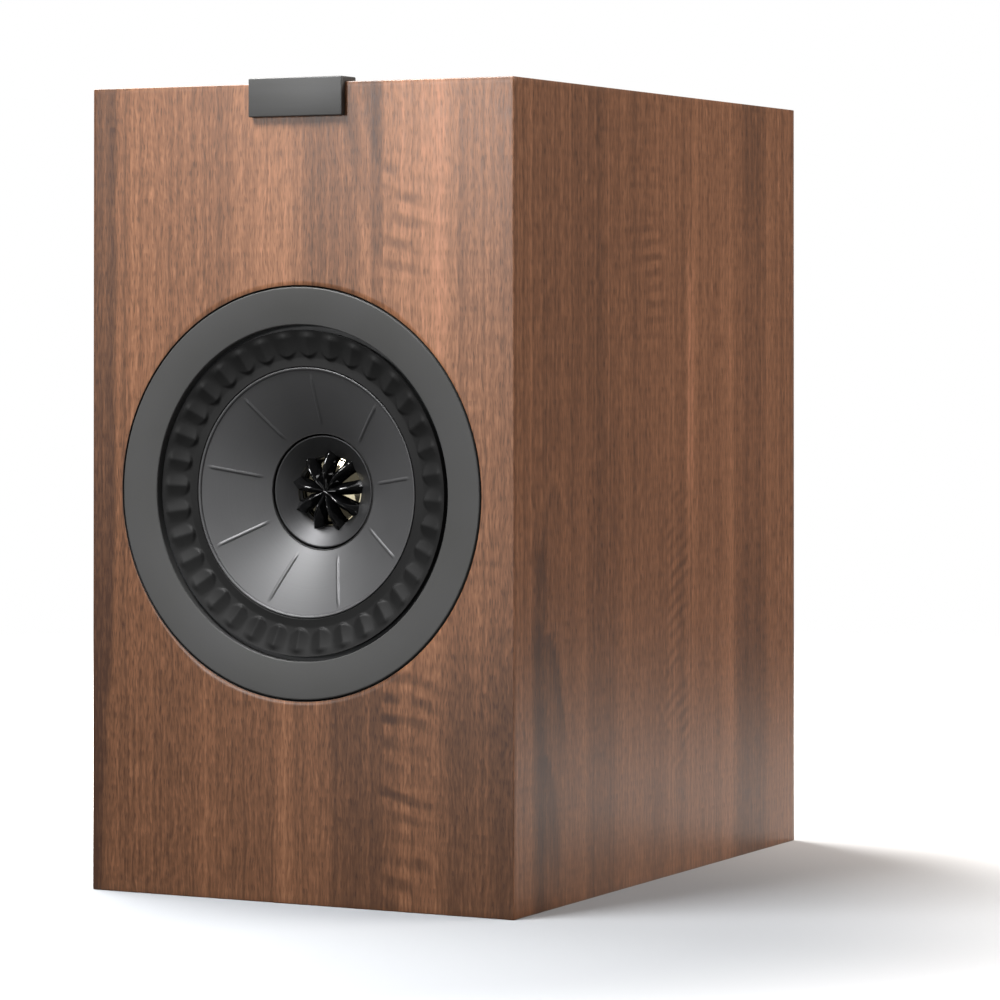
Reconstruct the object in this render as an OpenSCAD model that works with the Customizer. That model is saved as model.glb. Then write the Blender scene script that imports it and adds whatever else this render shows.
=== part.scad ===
// Two-way bookshelf loudspeaker with a coaxial driver and a rear port.
// Origin: centre of the cabinet's base. +X is right as seen from the front,
// +Y runs from the front to the rear, +Z is up. Sizes are in millimetres.

/* [Cabinet] */
// Width of the cabinet
cab_w = 180; // [170:1:240]
// Height of the cabinet
cab_h = 303; // [290:1:400]
// Depth of the cabinet, front face to rear face
cab_d = 250; // [215:1:340]
// Thickness of the side, top and bottom walls
wall_t = 15; // [12:0.5:18]
// Thickness of the front baffle
baffle_t = 18; // [16:0.5:24]
// Thickness of the rear panel
rear_t = 15; // [12:0.5:20]
// Depth of the rebate in the walls that holds the rear panel
rabbet = 7; // [4:0.5:9]
// Thickness of the internal window brace
brace_t = 12; // [9:0.5:18]
// Width of the brace's border around its windows
brace_border = 15; // [12:1:25]
// Thickness of the sheets of damping foam
foam_t = 12; // [6:1:18]

/* [Driver] */
// Outer radius of the bass cone
cone_r = 46.4; // [44:0.1:56]
// Thickness of the bass cone
cone_t = 0.5; // [0.4:0.1:1]
// Travel of the bass cone each way, which is also the voice coil's overhang
cone_travel = 4; // [2:0.5:4]
// Width of the rubber surround, from the cone's rim to the outside of its bead
surround_w = 15; // [14:0.1:16]
// Width of the trim ring
trim_w = 14; // [12.5:0.1:15]
// Visible gap between the trim ring and the baffle
trim_gap = 0.6; // [0.2:0.1:1.2]
// Depth of the chassis flange's front face behind the baffle's face
flange_depth = 4.8; // [4.4:0.1:6]
// Thickness of the chassis flange
flange_t = 3; // [2:0.1:4]
// Thickness of the sealing gasket under the flange
gasket_t = 1.2; // [0.6:0.1:2]
// Number of driver screws
screw_count = 6; // [4:1:8]
// Inner radius of the bass voice coil's former
former_r = 21.6; // [21.2:0.1:22.4]
// Outer radius of the ferrite magnet
magnet_r = 50; // [46:0.5:54]
// Thickness of the ferrite magnet
magnet_t = 18; // [12:0.5:22]
// Radial air gap on each side of the bass voice coil
coil_gap = 0.45; // [0.3:0.05:0.6]

/* [Tweeter] */
// Radius of the tweeter's dome
dome_r = 12.5; // [12:0.1:12.8]
// Height of the dome above its edge
dome_h = 3.8; // [3:0.1:4.2]
// Number of fins in the phase plug
fin_count = 9; // [5:1:12]
// Thickness of a fin
fin_t = 1.2; // [0.8:0.1:1.6]
// Clearance between the fins and the dome
fin_gap = 0.7; // [0.5:0.05:1]

/* [Port] */
// Bore radius of the port
port_r = 21.5; // [17:0.5:24]
// Length of the port behind the rear face
port_len = 110; // [80:1:120]
// How much wider than the bore the port's mouth is, on the radius
port_flare_w = 12; // [8:0.5:14]
// Width of the flat rim around the port's mouth
port_rim_w = 2.5; // [1.5:0.1:5]
// Distance of the port's centre below the top of the cabinet
port_drop = 85; // [80:1:100]

/* [Terminals] */
// Height of the terminals above the base
term_z = 75; // [70:1:90]
// Spacing of the two binding posts, the standard for a double plug
post_pitch = 19.05; // [19:0.05:24]
// Radius of a binding post's stud
stud_r = 4; // [3.5:0.1:4.5]
// Bore radius of the banana socket in a stud
socket_r = 2; // [1.9:0.05:2.2]
// Depth of the banana socket
socket_len = 15; // [12:0.5:15]
// Outer radius of a knob
knob_r = 7.5; // [7:0.1:8.5]
// Travel of a knob from closed to open
knob_travel = 6; // [3:0.5:8]

/* [Badge] */
// Width of the blank tab at the top of the baffle
badge_w = 40; // [20:1:60]
// Height of the tab's front face
badge_h = 14.4; // [8:0.1:24]
// How far the tab stands proud of the baffle and of the top
badge_proud = 2.6; // [1:0.1:4]

/* [Hidden] */
$fn = 96;

fit_gap = 0.05;              // bonded and running fits, on the radius
front_y = -cab_d / 2;
rear_y = cab_d / 2;
in_x = cab_w / 2 - wall_t;   // inner half width
in_top = cab_h - wall_t;     // underside of the top panel
lip = wall_t - rabbet;       // wall left around the rear panel
driver_z = cab_h / 2;        // the driver is centred on the baffle
rear_in_y = rear_y - rear_t; // inner face of the rear panel

// Driver: radii from the cone outwards, then depths from the baffle's front face
bead_out_r = cone_r + surround_w;
collar_r = bead_out_r - 1.4;
collar_t = 2.5;
bead_in_r = collar_r - 1.2;
trim_in_r = bead_out_r + 0.8;
trim_r = trim_in_r + trim_w;
screw_circle_r = trim_in_r + trim_w / 2;
flange_r = trim_r - 0.6;
rebate_r = trim_r + trim_gap;
rebate_depth = flange_depth + flange_t + gasket_t;
cut_r = collar_r + 1.5;
chamfer = 5;
collar_len = 6;
screw_start = 30;            // angle of the first driver screw
screw_r = 1.6;
screw_len = 12.6;
screw_head_r = 3.4;
screw_head_t = 1.9;
trim_skirt = 1.5;
rim_depth = 5.3;             // front edge of the cone
neck_depth = 17.9;           // inner edge of the cone
cone_sag = 0.5;
cone_steps = 16;
former_t = 0.2;
coil_t = 0.6;
neck_r = former_r + former_t;
lip_r = cone_r - (cone_r - neck_r) / cone_steps;
rib_count = 9;
rib_h = 0.45;
rib_t = 0.7;
spoke_start = -88;           // angle of the first rib and of the first fin
bead_depth = 1.7;
spider_out_r = 44;
landing_depth = 30;
spider_t = 0.5;
spider_wave = 1.2;
plate_depth = 42;
plate_t = 6;
yoke_t = 6;
coil_back = plate_depth + plate_t + cone_travel;
pole_r = former_r - coil_gap;
pole_bore = 6;
plate_in_r = former_r + former_t + coil_t + coil_gap;
magnet_in_r = 26;
motor_back = plate_depth + plate_t + magnet_t + yoke_t;
pad_t = 4;
brace_y = front_y + motor_back + pad_t;
arm_w = 8;
arm_count = 6;
sheet_t = 3;                 // thickness of the chassis rings behind the collar
tag_x = 6.5;                 // the driver's two tags, either side of its lowest arm
tag_face = collar_r - 1.4;
tag_depth = 34;
tag_strip_y = tag_face - 1.6;
tag_strip_depth = 22.5;
tag_strip_len = 8;
boss_depth = 14;             // front of the boss that carries the tag strip
driver_tag_w = 4.8;
lead_r = 0.5;
lead_y = 34;                 // where a lead leaves the cone

// Tweeter, depths from the baffle's front face
horn_r = former_r - 0.7;
throat_r = dome_r + 1.1;
horn_depth = 17.9;
throat_depth = 23.2;
dome_edge = 25;
dome_curve = (dome_r * dome_r + dome_h * dome_h) / (2 * dome_h);
dome_t = 0.2;
rim_r = dome_r + 0.5;
tweeter_seat = 26;           // top of the tweeter's yoke
tweeter_yoke_r = horn_r - 0.3;
pole_plate_back = 29;
tweeter_magnet_back = 34;
tweeter_bore = 4.5;
lead_block_t = 4;
stem_r = pole_bore - fit_gap;
stem_bore = 4;
recess_depth = plate_depth - 4;

// Rear
port_z = cab_h - port_drop;
port_wall = 2.5;
port_flange_t = 2.5;
port_seat = 1.5;             // depth of the flange's seat in the rear panel
mouth_r = port_r + port_flare_w;
port_flange_r = mouth_r + port_rim_w;
port_body_r = mouth_r - 0.5; // outside of the flare, where it leaves the rear panel
port_out_r = port_r + port_wall;
flare_len = 20;
joint_depth = 40;            // where the flare's tube meets the long tube
inner_flare = 6;
inner_flare_len = 12;
plate_w = 92;
plate_h = 64;
term_plate_t = 2.5;
term_gasket_t = 0.8;
plate_top = term_gasket_t + term_plate_t;
base_h = 3.2;
base_top = plate_top + base_h;
stud_tip = 26;
stud_in = 11;                // stud inside the plate
knob_len = 21.5;
insert_r = stud_r + 1.5;
wire_hole_r = 1.5;
flute_r = 0.9;
insert_len = stud_tip - base_top - knob_travel;  // still all on the stud when the knob is open
post_slot_w = 60;
post_slot_h = 36;
washer_t = 1;
nut_t = 3.4;
tag_t = 0.8;
tag_back = term_gasket_t - washer_t - nut_t - tag_t;
tail_y = stud_r + 7;
tail_len = 16;
tag_w = 5;
term_screw_x = 39;
term_screw_z = 25;

// Crossover board, on the bottom panel behind the brace
board_w = 110;
board_d = 90;
board_t = 1.6;
standoff_h = 6;
standoff_x = 50;
standoff_y = 40;
board_y = (brace_y + brace_t + rear_in_y) / 2;
board_z = wall_t + standoff_h;
board_top = board_z + board_t;
wire_r = 1;
thin_wire_r = 0.8;

function cone_part(r) = (cone_r - r) / (cone_r - neck_r);
function cone_depth(r) =
  rim_depth + (neck_depth - rim_depth) * cone_part(r) - 4 * cone_sag * cone_part(r) * (1 - cone_part(r));
function cone_step_r(i) = cone_r - (cone_r - neck_r) * i / cone_steps;
function horn_part(r) = (horn_r - r) / (horn_r - throat_r);
function horn_surface(r) =
  horn_depth + (throat_depth - horn_depth) * (0.85 * horn_part(r) + 0.15 * pow(horn_part(r), 2));
function dome_depth(r) = dome_edge - dome_h + dome_curve - sqrt(dome_curve * dome_curve - r * r);

// A smooth curve through a list of points, for wires
function blend4(a, b, c, d, t) =
  0.5 * (2 * b + (c - a) * t + (2 * a - 5 * b + 4 * c - d) * t * t + (3 * b - a - 3 * c + d) * t * t * t);
function along(p, steps) = let (n = len(p)) concat(
  [for (i = [0:n - 2], k = [0:steps - 1])
    blend4(i == 0 ? 2 * p[0] - p[1] : p[i - 1], p[i], p[i + 1],
      i == n - 2 ? 2 * p[n - 1] - p[n - 2] : p[i + 2], k / steps)],
  [p[n - 1]]);
function unit(v) = v / norm(v);
function heading(p, i) = unit(p[min(i + 1, len(p) - 1)] - p[max(i - 1, 0)]);

// A wire swept along the points, eight-sided; side is a direction that the wire never follows
module wire(points, r, side, steps = 3) {
  p = along(points, steps);
  n = len(p);
  last = n - 1;
  rings = [for (i = [0:last], k = [0:7])
    let (t = i == 0 ? unit(points[1] - points[0])
           : i == last ? unit(points[len(points) - 1] - points[len(points) - 2]) : heading(p, i),
         u = unit(cross(t, side)), v = cross(t, u))
    p[i] + r * (cos(45 * k) * u + sin(45 * k) * v)];
  walls = [for (i = [0:last - 1], k = [0:7])
    [8 * i + k, 8 * i + (k + 1) % 8, 8 * i + 8 + (k + 1) % 8, 8 * i + 8 + k]];
  polyhedron(rings, concat(walls, [[for (k = [7:-1:0]) k]], [[for (k = [0:7]) 8 * last + k]]), convexity = 6);
}

module at_driver() translate([0, front_y, driver_z]) rotate([-90, 0, 0]) children();
module at_rear(x, z) translate([x, rear_y, z]) rotate([-90, 0, 0]) children();
module turned(profile) rotate_extrude() polygon(profile);
module ring(outer, inner, from, to) turned([[inner, from], [outer, from], [outer, to], [inner, to]]);
module along_x(length) rotate([90, 0, 90]) linear_extrude(length, center = true) children();
module along_y(length) translate([0, length / 2, 0]) rotate([90, 0, 0]) linear_extrude(length) children();
module around(count, radius, start = 0)
  for (i = [0:count - 1]) rotate([0, 0, start + 360 * i / count]) translate([radius, 0, 0]) children();
module rounded_plate(w, h, r, t) linear_extrude(t) union() {
  square([w - 2 * r, h], center = true);
  square([w, h - 2 * r], center = true);
  for (x = [-1, 1], y = [-1, 1]) translate([x * (w / 2 - r), y * (h / 2 - r)]) circle(r);
}

// The cabinet: mitred boards, so that no joint shows on an outer face
module rear_opening()
  translate([-cab_w / 2 + lip, rear_y - rear_t, lip]) cube([cab_w - 2 * lip, rear_t + 1, cab_h - 2 * lip]);

module driver_screw_places(from)
  translate([0, 0, from]) around(screw_count, screw_circle_r, screw_start) children();
module driver_rebate() at_driver() translate([0, 0, -1]) cylinder(rebate_depth + 1, r = rebate_r);

module front_baffle() color("saddlebrown") difference() {
  intersection() {
    linear_extrude(cab_h) polygon([
      [-cab_w / 2, front_y], [cab_w / 2, front_y], [in_x, front_y + baffle_t], [-in_x, front_y + baffle_t]]);
    along_x(cab_w) polygon([
      [front_y, 0], [front_y + baffle_t, wall_t], [front_y + baffle_t, in_top], [front_y, cab_h]]);
  }
  driver_rebate();
  at_driver() {
    cylinder(baffle_t + 1, r = cut_r);
    translate([0, 0, baffle_t - chamfer]) cylinder(chamfer, r1 = cut_r, r2 = cut_r + chamfer);
    driver_screw_places(rebate_depth) cylinder(screw_len - flange_t - gasket_t, r = screw_r);
  }
  badge_pegs(fit_gap, 1);
}

module side_panel(side) color("saddlebrown") difference() {
  intersection() {
    linear_extrude(cab_h) polygon([
      [side * cab_w / 2, front_y], [side * in_x, front_y + baffle_t],
      [side * in_x, rear_y], [side * cab_w / 2, rear_y]]);
    along_y(cab_d) polygon([
      [side * cab_w / 2, 0], [side * in_x, wall_t], [side * in_x, in_top], [side * cab_w / 2, cab_h]]);
  }
  rear_opening();
  driver_rebate();
}

// The top and bottom: from the outer face at z = outer to the inner face at z = inner
module flat_panel(outer, inner) color("saddlebrown") difference() {
  intersection() {
    along_y(cab_d) polygon([[-cab_w / 2, outer], [-in_x, inner], [in_x, inner], [cab_w / 2, outer]]);
    along_x(cab_w) polygon([[front_y, outer], [front_y + baffle_t, inner], [rear_y, inner], [rear_y, outer]]);
  }
  rear_opening();
}

module left_panel() side_panel(-1);
module right_panel() side_panel(1);
module top_panel() flat_panel(cab_h, in_top);
module bottom_panel() flat_panel(0, wall_t);

module rear_panel() color("dimgray") difference() {
  translate([-cab_w / 2 + lip, rear_in_y, lip]) cube([cab_w - 2 * lip, rear_t, cab_h - 2 * lip]);
  at_rear(0, port_z) {
    translate([0, 0, -port_seat]) cylinder(port_seat + 1, r = port_flange_r + 0.3);
    translate([0, 0, -rear_t - 1]) cylinder(rear_t + 1, r = port_body_r + 0.3);
  }
  at_rear(0, term_z) {
    translate([-post_slot_w / 2, -post_slot_h / 2, -rear_t - 1]) cube([post_slot_w, post_slot_h, rear_t + 2]);
    terminal_screw_places(-11) cylinder(12, r = screw_r);
  }
}

module window_brace() color("burlywood") difference() {
  translate([-in_x, brace_y, wall_t]) cube([2 * in_x, brace_t, in_top - wall_t]);
  band = 35;
  for (z = [[wall_t + brace_border, driver_z - band], [driver_z + band, in_top - brace_border]])
    translate([-in_x + brace_border, brace_y - 1, z[0]])
      cube([2 * (in_x - brace_border), brace_t + 2, z[1] - z[0]]);
  at_driver() translate([0, 0, motor_back]) cylinder(brace_t + pad_t + 1, r = 9);
}

module motor_pad() color("dimgray") at_driver() ring(28, 10, motor_back, motor_back + pad_t);

// Foam on both side walls, and one sheet under the top
module foam_lining() color("gray") {
  foam_y = brace_y + brace_t + 8;
  foam_d = rear_in_y - 6 - foam_y;
  foam_z = wall_t + 25;
  foam_h = in_top - foam_t - 4 - foam_z;
  for (x = [-in_x, in_x - foam_t]) translate([x, foam_y, foam_z]) cube([foam_t, foam_d, foam_h]);
  translate([-in_x + 4, foam_y, in_top - foam_t]) cube([2 * in_x - 8, foam_d, foam_t]);
}

module badge_pegs(gap, extra)
  for (x = [-1, 1]) translate([x * badge_w * 0.3, front_y - extra, cab_h - 7]) rotate([-90, 0, 0])
    cylinder(4.5 + extra + (extra > 0 ? 0.3 : 0), r = 1.5 + gap);

// A blank tab that hooks over the top edge of the baffle
module badge() color("dimgray") {
  over = 2;
  back = 8;
  along_x(badge_w) polygon([
    [front_y - badge_proud, cab_h + over - badge_h], [front_y, cab_h + over - badge_h], [front_y, cab_h],
    [front_y + back, cab_h], [front_y + back, cab_h + over], [front_y - badge_proud, cab_h + over]]);
  badge_pegs(0, 0);
}

// The driver
module trim_ring() color("dimgray") at_driver() turned([
  [trim_in_r, flange_depth], [trim_in_r, 2.0], [trim_in_r + 0.3, 1.5], [trim_in_r + 1, 1.1],
  [trim_r - 1, -0.2], [trim_r - 0.3, 0], [trim_r, 0.5], [trim_r, flange_depth],
  [trim_r - trim_skirt, flange_depth], [trim_r - trim_skirt, 1.5],
  [trim_in_r + trim_skirt, 2.6], [trim_in_r + trim_skirt, flange_depth]]);

module screw_clear_holes(from, to) driver_screw_places(from) cylinder(to - from, r = screw_r + 0.4);

module driver_gasket() color("black") at_driver() difference() {
  ring(flange_r, cut_r + 0.5, rebate_depth - gasket_t, rebate_depth);
  screw_clear_holes(rebate_depth - gasket_t - 1, rebate_depth + 1);
}

// Pressed steel basket: flange, collar, six arms, a landing for the spider and a ring for the magnet
module driver_chassis() color("darkslategray") at_driver() difference() {
  back = flange_depth + flange_t;
  out = spider_out_r + 2.5;
  union() {
    ring(flange_r, collar_r - collar_t, flange_depth, back);
    ring(collar_r, collar_r - collar_t, flange_depth, back + collar_len);
    ring(out, spider_out_r - 5, landing_depth, landing_depth + sheet_t);
    ring(out, 30, plate_depth - sheet_t, plate_depth);
    around(arm_count, 0, 180 / arm_count) rotate([90, 0, 0]) linear_extrude(arm_w, center = true) polygon([
      [collar_r - collar_t, back], [collar_r, back], [collar_r, back + collar_len], [out + 3, plate_depth],
      [out - 2, plate_depth], [out - 2, landing_depth], [collar_r - collar_t, back + collar_len]]);
    // Boss for the tag strip, on the lowest arm
    translate([-arm_w / 2, out + 3.5, boss_depth])
      cube([arm_w, tag_strip_y - out - 3.5, tag_strip_depth + tag_strip_len - boss_depth]);
  }
  screw_clear_holes(flange_depth - 1, back + 1);
}

module driver_screws() color("black") at_driver() driver_screw_places(flange_depth) difference() {
  union() {
    translate([0, 0, -screw_head_t]) cylinder(screw_head_t, r = screw_head_r);
    cylinder(screw_len, r = screw_r);
  }
  translate([0, 0, -screw_head_t - 1]) cylinder(2.2, r = 1.6, $fn = 6);
}

// Rubber surround: bead on the flange, sloping roll, lip bonded behind the cone's rim
module surround() color("black") at_driver() turned([
  [lip_r, cone_depth(lip_r) + cone_t], [cone_r, cone_depth(cone_r) + cone_t], [cone_r + 0.6, rim_depth - 0.2],
  [cone_r + 3.6, rim_depth - 0.6], [collar_r, bead_depth + 0.4], [collar_r + 0.6, bead_depth],
  [bead_out_r, bead_depth], [bead_out_r, flange_depth],
  [bead_in_r, flange_depth], [bead_in_r, flange_depth - 1.4],
  [cone_r + 3.6, rim_depth + 0.3], [cone_r + 0.9, rim_depth + 0.8], [cone_r + 0.1, rim_depth + 1.4],
  [lip_r, cone_depth(lip_r) + cone_t + 0.9]]);

module cone_shell(front, back, from_step, to_step) turned(concat(
  [for (i = [from_step:to_step]) [cone_step_r(i), cone_depth(cone_step_r(i)) + front]],
  [for (i = [to_step:-1:from_step]) [cone_step_r(i), cone_depth(cone_step_r(i)) + back]]));

module bass_cone() color("gray") at_driver() {
  cone_shell(0, cone_t, 0, cone_steps);
  intersection() {
    cone_shell(-rib_h, cone_t / 2, 1, cone_steps - 2);
    around(rib_count, 0, spoke_start) translate([0, -rib_t / 2, 0]) cube([cone_r, rib_t, neck_depth]);
  }
}

module coil_former() color("goldenrod") at_driver()
  ring(neck_r, former_r, neck_depth - 0.4, coil_back);

module bass_voice_coil() color("peru") at_driver()
  ring(neck_r + coil_t, neck_r, plate_depth - cone_travel, coil_back);

// Corrugated cloth spider, four waves wide, glued to the former and to the chassis landing
function spider_point(flat_r, depth, f) =
  [neck_r + (flat_r - neck_r) * f, depth - spider_wave * sin(360 * 4 * f)];
module spider() color("khaki") at_driver() {
  steps = 32;
  flat_r = spider_out_r - 5.5;
  mid = landing_depth - spider_t;
  turned(concat(
    [for (i = [0:steps]) let (f = i / steps) spider_point(flat_r, mid, f)],
    [[spider_out_r, mid], [spider_out_r, mid + spider_t]],
    [for (i = [steps:-1:0]) let (f = i / steps) spider_point(flat_r, mid + spider_t, f)]));
}

module front_plate() color("silver") at_driver()
  ring(magnet_r - 5, plate_in_r, plate_depth, plate_depth + plate_t);
module ferrite_magnet() color("dimgray") at_driver()
  ring(magnet_r, magnet_in_r, plate_depth + plate_t, plate_depth + plate_t + magnet_t);
module pole_yoke() color("silver") at_driver() turned([
  [pole_bore, plate_depth], [pole_r, plate_depth], [pole_r, motor_back - yoke_t],
  [magnet_r - 2, motor_back - yoke_t], [magnet_r - 2, motor_back], [pole_bore, motor_back]]);

module driver_tag_strip() color("sienna") at_driver()
  translate([-tag_x - 3, tag_strip_y, tag_strip_depth])
    cube([2 * tag_x + 6, tag_face - tag_strip_y, tag_strip_len]);
module driver_tags() color("gold") at_driver() for (x = [-tag_x, tag_x])
  translate([x - driver_tag_w / 2, tag_face, tag_strip_depth + 0.5])
    cube([driver_tag_w, tag_t, tag_depth + 3.5 - tag_strip_depth]);

// Braided leads from the back of the cone to the tags
module tinsel_leads() color("orange") at_driver() for (s = [-1, 1]) wire([
  [s * tag_x, lead_y, cone_depth(norm([tag_x, lead_y])) + cone_t - 0.1], [s * (tag_x + 1), lead_y + 5, 15.5],
  [s * (tag_x + 1.5), lead_y + 12, 21], [s * (tag_x + 1), tag_face - 7.6, 28.5],
  [s * tag_x, tag_face - 3.6, tag_depth - 0.5], [s * tag_x, tag_face, tag_depth - 0.5]], lead_r, [1, 0, 0]);

// The tweeter, on the front of the bass driver's pole
module tweeter_horn() color("dimgray") at_driver() {
  steps = 10;
  turned(concat(
    [for (i = [0:steps]) let (r = horn_r - (horn_r - throat_r) * i / steps) [r, horn_surface(r)]],
    [[throat_r, throat_depth + 0.4], [throat_r + 1.8, 24], [throat_r + 2.4, 25.6], [throat_r + 3.5, 25.6],
     [throat_r + 3.5, tweeter_seat], [tweeter_yoke_r, tweeter_seat], [horn_r, tweeter_seat - 0.5]]));
}

// Crest line of a fin: hub, shoulder and outer end, as radius and depth
fin_crest = [[0, 19.6], [1.5, 19.4], [4, 18.3], [6, 17.9], [8, 17.8], [10, 18.4], [12, 19.6], [13.9, 21.2]];

// Fins that meet at a hub and stand on the horn's throat, clear of the dome
module phase_plug() color("black") at_driver() {
  foot_r = horn_r - (horn_r - throat_r) * 0.8;
  foot_in_r = horn_r - (horn_r - throat_r) * 0.9;
  under = [0, 4, 8, 10];
  hub_r = 1.7;
  intersection() {
    turned(concat(fin_crest,
      [for (r = [foot_r, foot_in_r, throat_r]) [r, horn_surface(r)]],
      [[throat_r - 0.4, throat_depth + 0.2], [throat_r - 1.6, throat_depth]],
      [for (i = [3:-1:0]) [under[i], dome_depth(under[i]) - fin_gap]]));
    union() {
      cylinder(tweeter_seat, r = hub_r);
      around(fin_count, 0, spoke_start) translate([0, -fin_t / 2, 0]) cube([horn_r, fin_t, tweeter_seat]);
    }
  }
}

module tweeter_dome() color("silver") at_driver() {
  steps = 12;
  turned(concat(
    [for (i = [0:steps]) [dome_r * i / steps, dome_depth(dome_r * i / steps)]],
    [[rim_r, dome_edge], [rim_r, dome_edge + dome_t]],
    [for (i = [steps:-1:0]) [dome_r * i / steps, dome_depth(dome_r * i / steps) + dome_t]]));
}

module dome_surround() color("black") at_driver() turned([
  [rim_r, dome_edge], [rim_r + 0.5, 24.65], [rim_r + 1.1, 24.5], [rim_r + 1.7, 24.65], [rim_r + 2.1, 25.1],
  [rim_r + 2.3, 25.6], [throat_r + 3.4, 25.6], [throat_r + 3.4, tweeter_seat], [rim_r + 2.1, tweeter_seat],
  [rim_r + 1.85, 25.3], [rim_r + 1.5, 24.95], [rim_r + 1.1, 24.8], [rim_r + 0.7, 24.95],
  [rim_r + 0.3, dome_edge + dome_t],
  [rim_r, dome_edge + dome_t]]);

module tweeter_coil() color("peru") at_driver()
  ring(dome_r + 0.3, dome_r - 0.05, dome_edge + dome_t, pole_plate_back + 0.4);
module tweeter_pole_plate() color("silver") at_driver()
  ring(dome_r - 0.3, tweeter_bore, tweeter_seat + 0.5, pole_plate_back);
module tweeter_magnet() color("silver") at_driver()
  ring(dome_r - 1, tweeter_bore, pole_plate_back, tweeter_magnet_back);
module tweeter_yoke() color("silver") at_driver() turned([
  [tweeter_yoke_r, tweeter_seat], [tweeter_yoke_r, plate_depth], [pole_bore, plate_depth],
  [pole_bore, recess_depth], [tweeter_bore, recess_depth], [tweeter_bore, tweeter_magnet_back],
  [dome_r + 3, tweeter_magnet_back], [dome_r + 3, pole_plate_back], [dome_r + 0.6, pole_plate_back],
  [dome_r + 0.6, tweeter_seat]]);
module tweeter_stem() color("silver") at_driver() ring(stem_r, stem_bore, recess_depth, motor_back + 2);
module tweeter_lead_block() color("sienna") at_driver()
  translate([0, 0, pole_plate_back]) cylinder(lead_block_t, r = tweeter_bore - fit_gap);

// The port: a flared mouth in the rear panel and a tube behind it
module port_flare() color("black") at_rear(0, port_z) {
  face = port_flange_t - port_seat;
  turned(concat(
    [[port_flange_r, -port_seat], [port_flange_r, 0.4], [port_flange_r - 0.6, face]],
    [for (i = [0:8]) let (a = 90 * i / 8) [mouth_r - port_flare_w * sin(a), face - flare_len * (1 - cos(a))]],
    [[port_r, -joint_depth], [port_out_r, -joint_depth]],
    [for (i = [6:-1:0]) let (a = 90 * i / 6)
      [port_body_r - (port_body_r - port_out_r) * sin(a), -port_seat - (flare_len - 0.5) * (1 - cos(a))]]));
}

// A quarter ellipse at the tube's inner end, from the radius r
function inner_flare_point(r, a) =
  [r + inner_flare * (1 - cos(a)), inner_flare_len - port_len - inner_flare_len * sin(a)];

module port_tube() color("black") at_rear(0, port_z) turned(concat(
  [[port_out_r + fit_gap, 12 - joint_depth], [port_out_r + 2.5, 12 - joint_depth],
   [port_out_r + 2.5, -joint_depth - 6], [port_out_r, -joint_depth - 6],
   [port_out_r, inner_flare_len + 2 - port_len]],
  [for (i = [0:6]) inner_flare_point(port_out_r, 15 * i)],
  [for (i = [6:-1:0]) inner_flare_point(port_r, 15 * i)],
  [[port_r, -joint_depth], [port_out_r + fit_gap, -joint_depth]]));

// The terminals
module terminal_screw_places(from) for (x = [-1, 1], z = [-1, 1])
  translate([x * term_screw_x, z * term_screw_z, from]) children();
module at_posts() for (s = [-1, 1]) at_rear(s * post_pitch / 2, term_z) children();
module at_positive() at_rear(-post_pitch / 2, term_z) children();
module at_negative() at_rear(post_pitch / 2, term_z) children();

module terminal_plate() color("black") at_rear(0, term_z) difference() {
  translate([0, 0, term_gasket_t]) rounded_plate(plate_w, plate_h, 5, term_plate_t);
  for (s = [-1, 1]) translate([s * post_pitch / 2, 0, -1]) cylinder(plate_top + 2, r = stud_r + 0.1);
  terminal_screw_places(0) cylinder(6, r = screw_r + 0.2);
}

module terminal_gasket() color("dimgray") at_rear(0, term_z) difference() {
  rounded_plate(plate_w - 2, plate_h - 2, 4, term_gasket_t);
  translate([-post_slot_w / 2, -post_slot_h / 2, -1]) cube([post_slot_w, post_slot_h, 3]);
  terminal_screw_places(-1) cylinder(6, r = screw_r + 0.2);
}

module terminal_screws() color("black") at_rear(0, term_z) terminal_screw_places(0) difference() {
  union() {
    translate([0, 0, -10]) cylinder(10 + plate_top, r = screw_r);
    translate([0, 0, plate_top]) cylinder(1.8, r = screw_head_r);
  }
  for (a = [0, 90]) rotate([0, 0, a]) translate([-2, -0.4, plate_top + 0.6]) cube([4, 0.8, 2]);
}

// Studs with an axial socket for a banana plug and a cross hole for bare wire
module post_studs() color("gold") at_posts() difference() {
  translate([0, 0, -stud_in]) cylinder(stud_in + stud_tip, r = stud_r);
  translate([0, 0, stud_tip - socket_len]) cylinder(socket_len + 1, r = socket_r);
  translate([0, 0, base_top + 2.1]) rotate([0, 90, 0]) cylinder(3 * stud_r, r = wire_hole_r, center = true);
}

module post_base() difference() {
  translate([0, 0, plate_top]) cylinder(base_h, r = knob_r);
  cylinder(20, r = stud_r + fit_gap);
}
module positive_base() color("firebrick") at_positive() post_base();
module negative_base() color("black") at_negative() post_base();

// Threaded brass sleeve that carries a knob along the stud
module knob_insert() ring(insert_r, stud_r + fit_gap, base_top, base_top + insert_len);
module positive_insert() color("gold") at_positive() knob_insert();
module negative_insert() color("gold") at_negative() knob_insert();

module knob() difference() {
  turned([
    [insert_r + fit_gap, base_top + 0.1], [knob_r - 0.6, base_top + 0.1], [knob_r, base_top + 0.7],
    [knob_r, base_top + knob_len - 1.2], [knob_r - 1.2, base_top + knob_len],
    [stud_r + 1.1, base_top + knob_len],
    [stud_r + 0.4, base_top + knob_len - 0.7], [stud_r + 0.4, base_top + insert_len + fit_gap],
    [insert_r + fit_gap, base_top + insert_len + fit_gap]]);
  around(16, knob_r + 0.35) translate([0, 0, base_top + 3.5]) cylinder(knob_len, r = flute_r, $fn = 24);
}
module positive_knob() color("firebrick") at_positive() knob();
module negative_knob() color("black") at_negative() knob();

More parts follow.
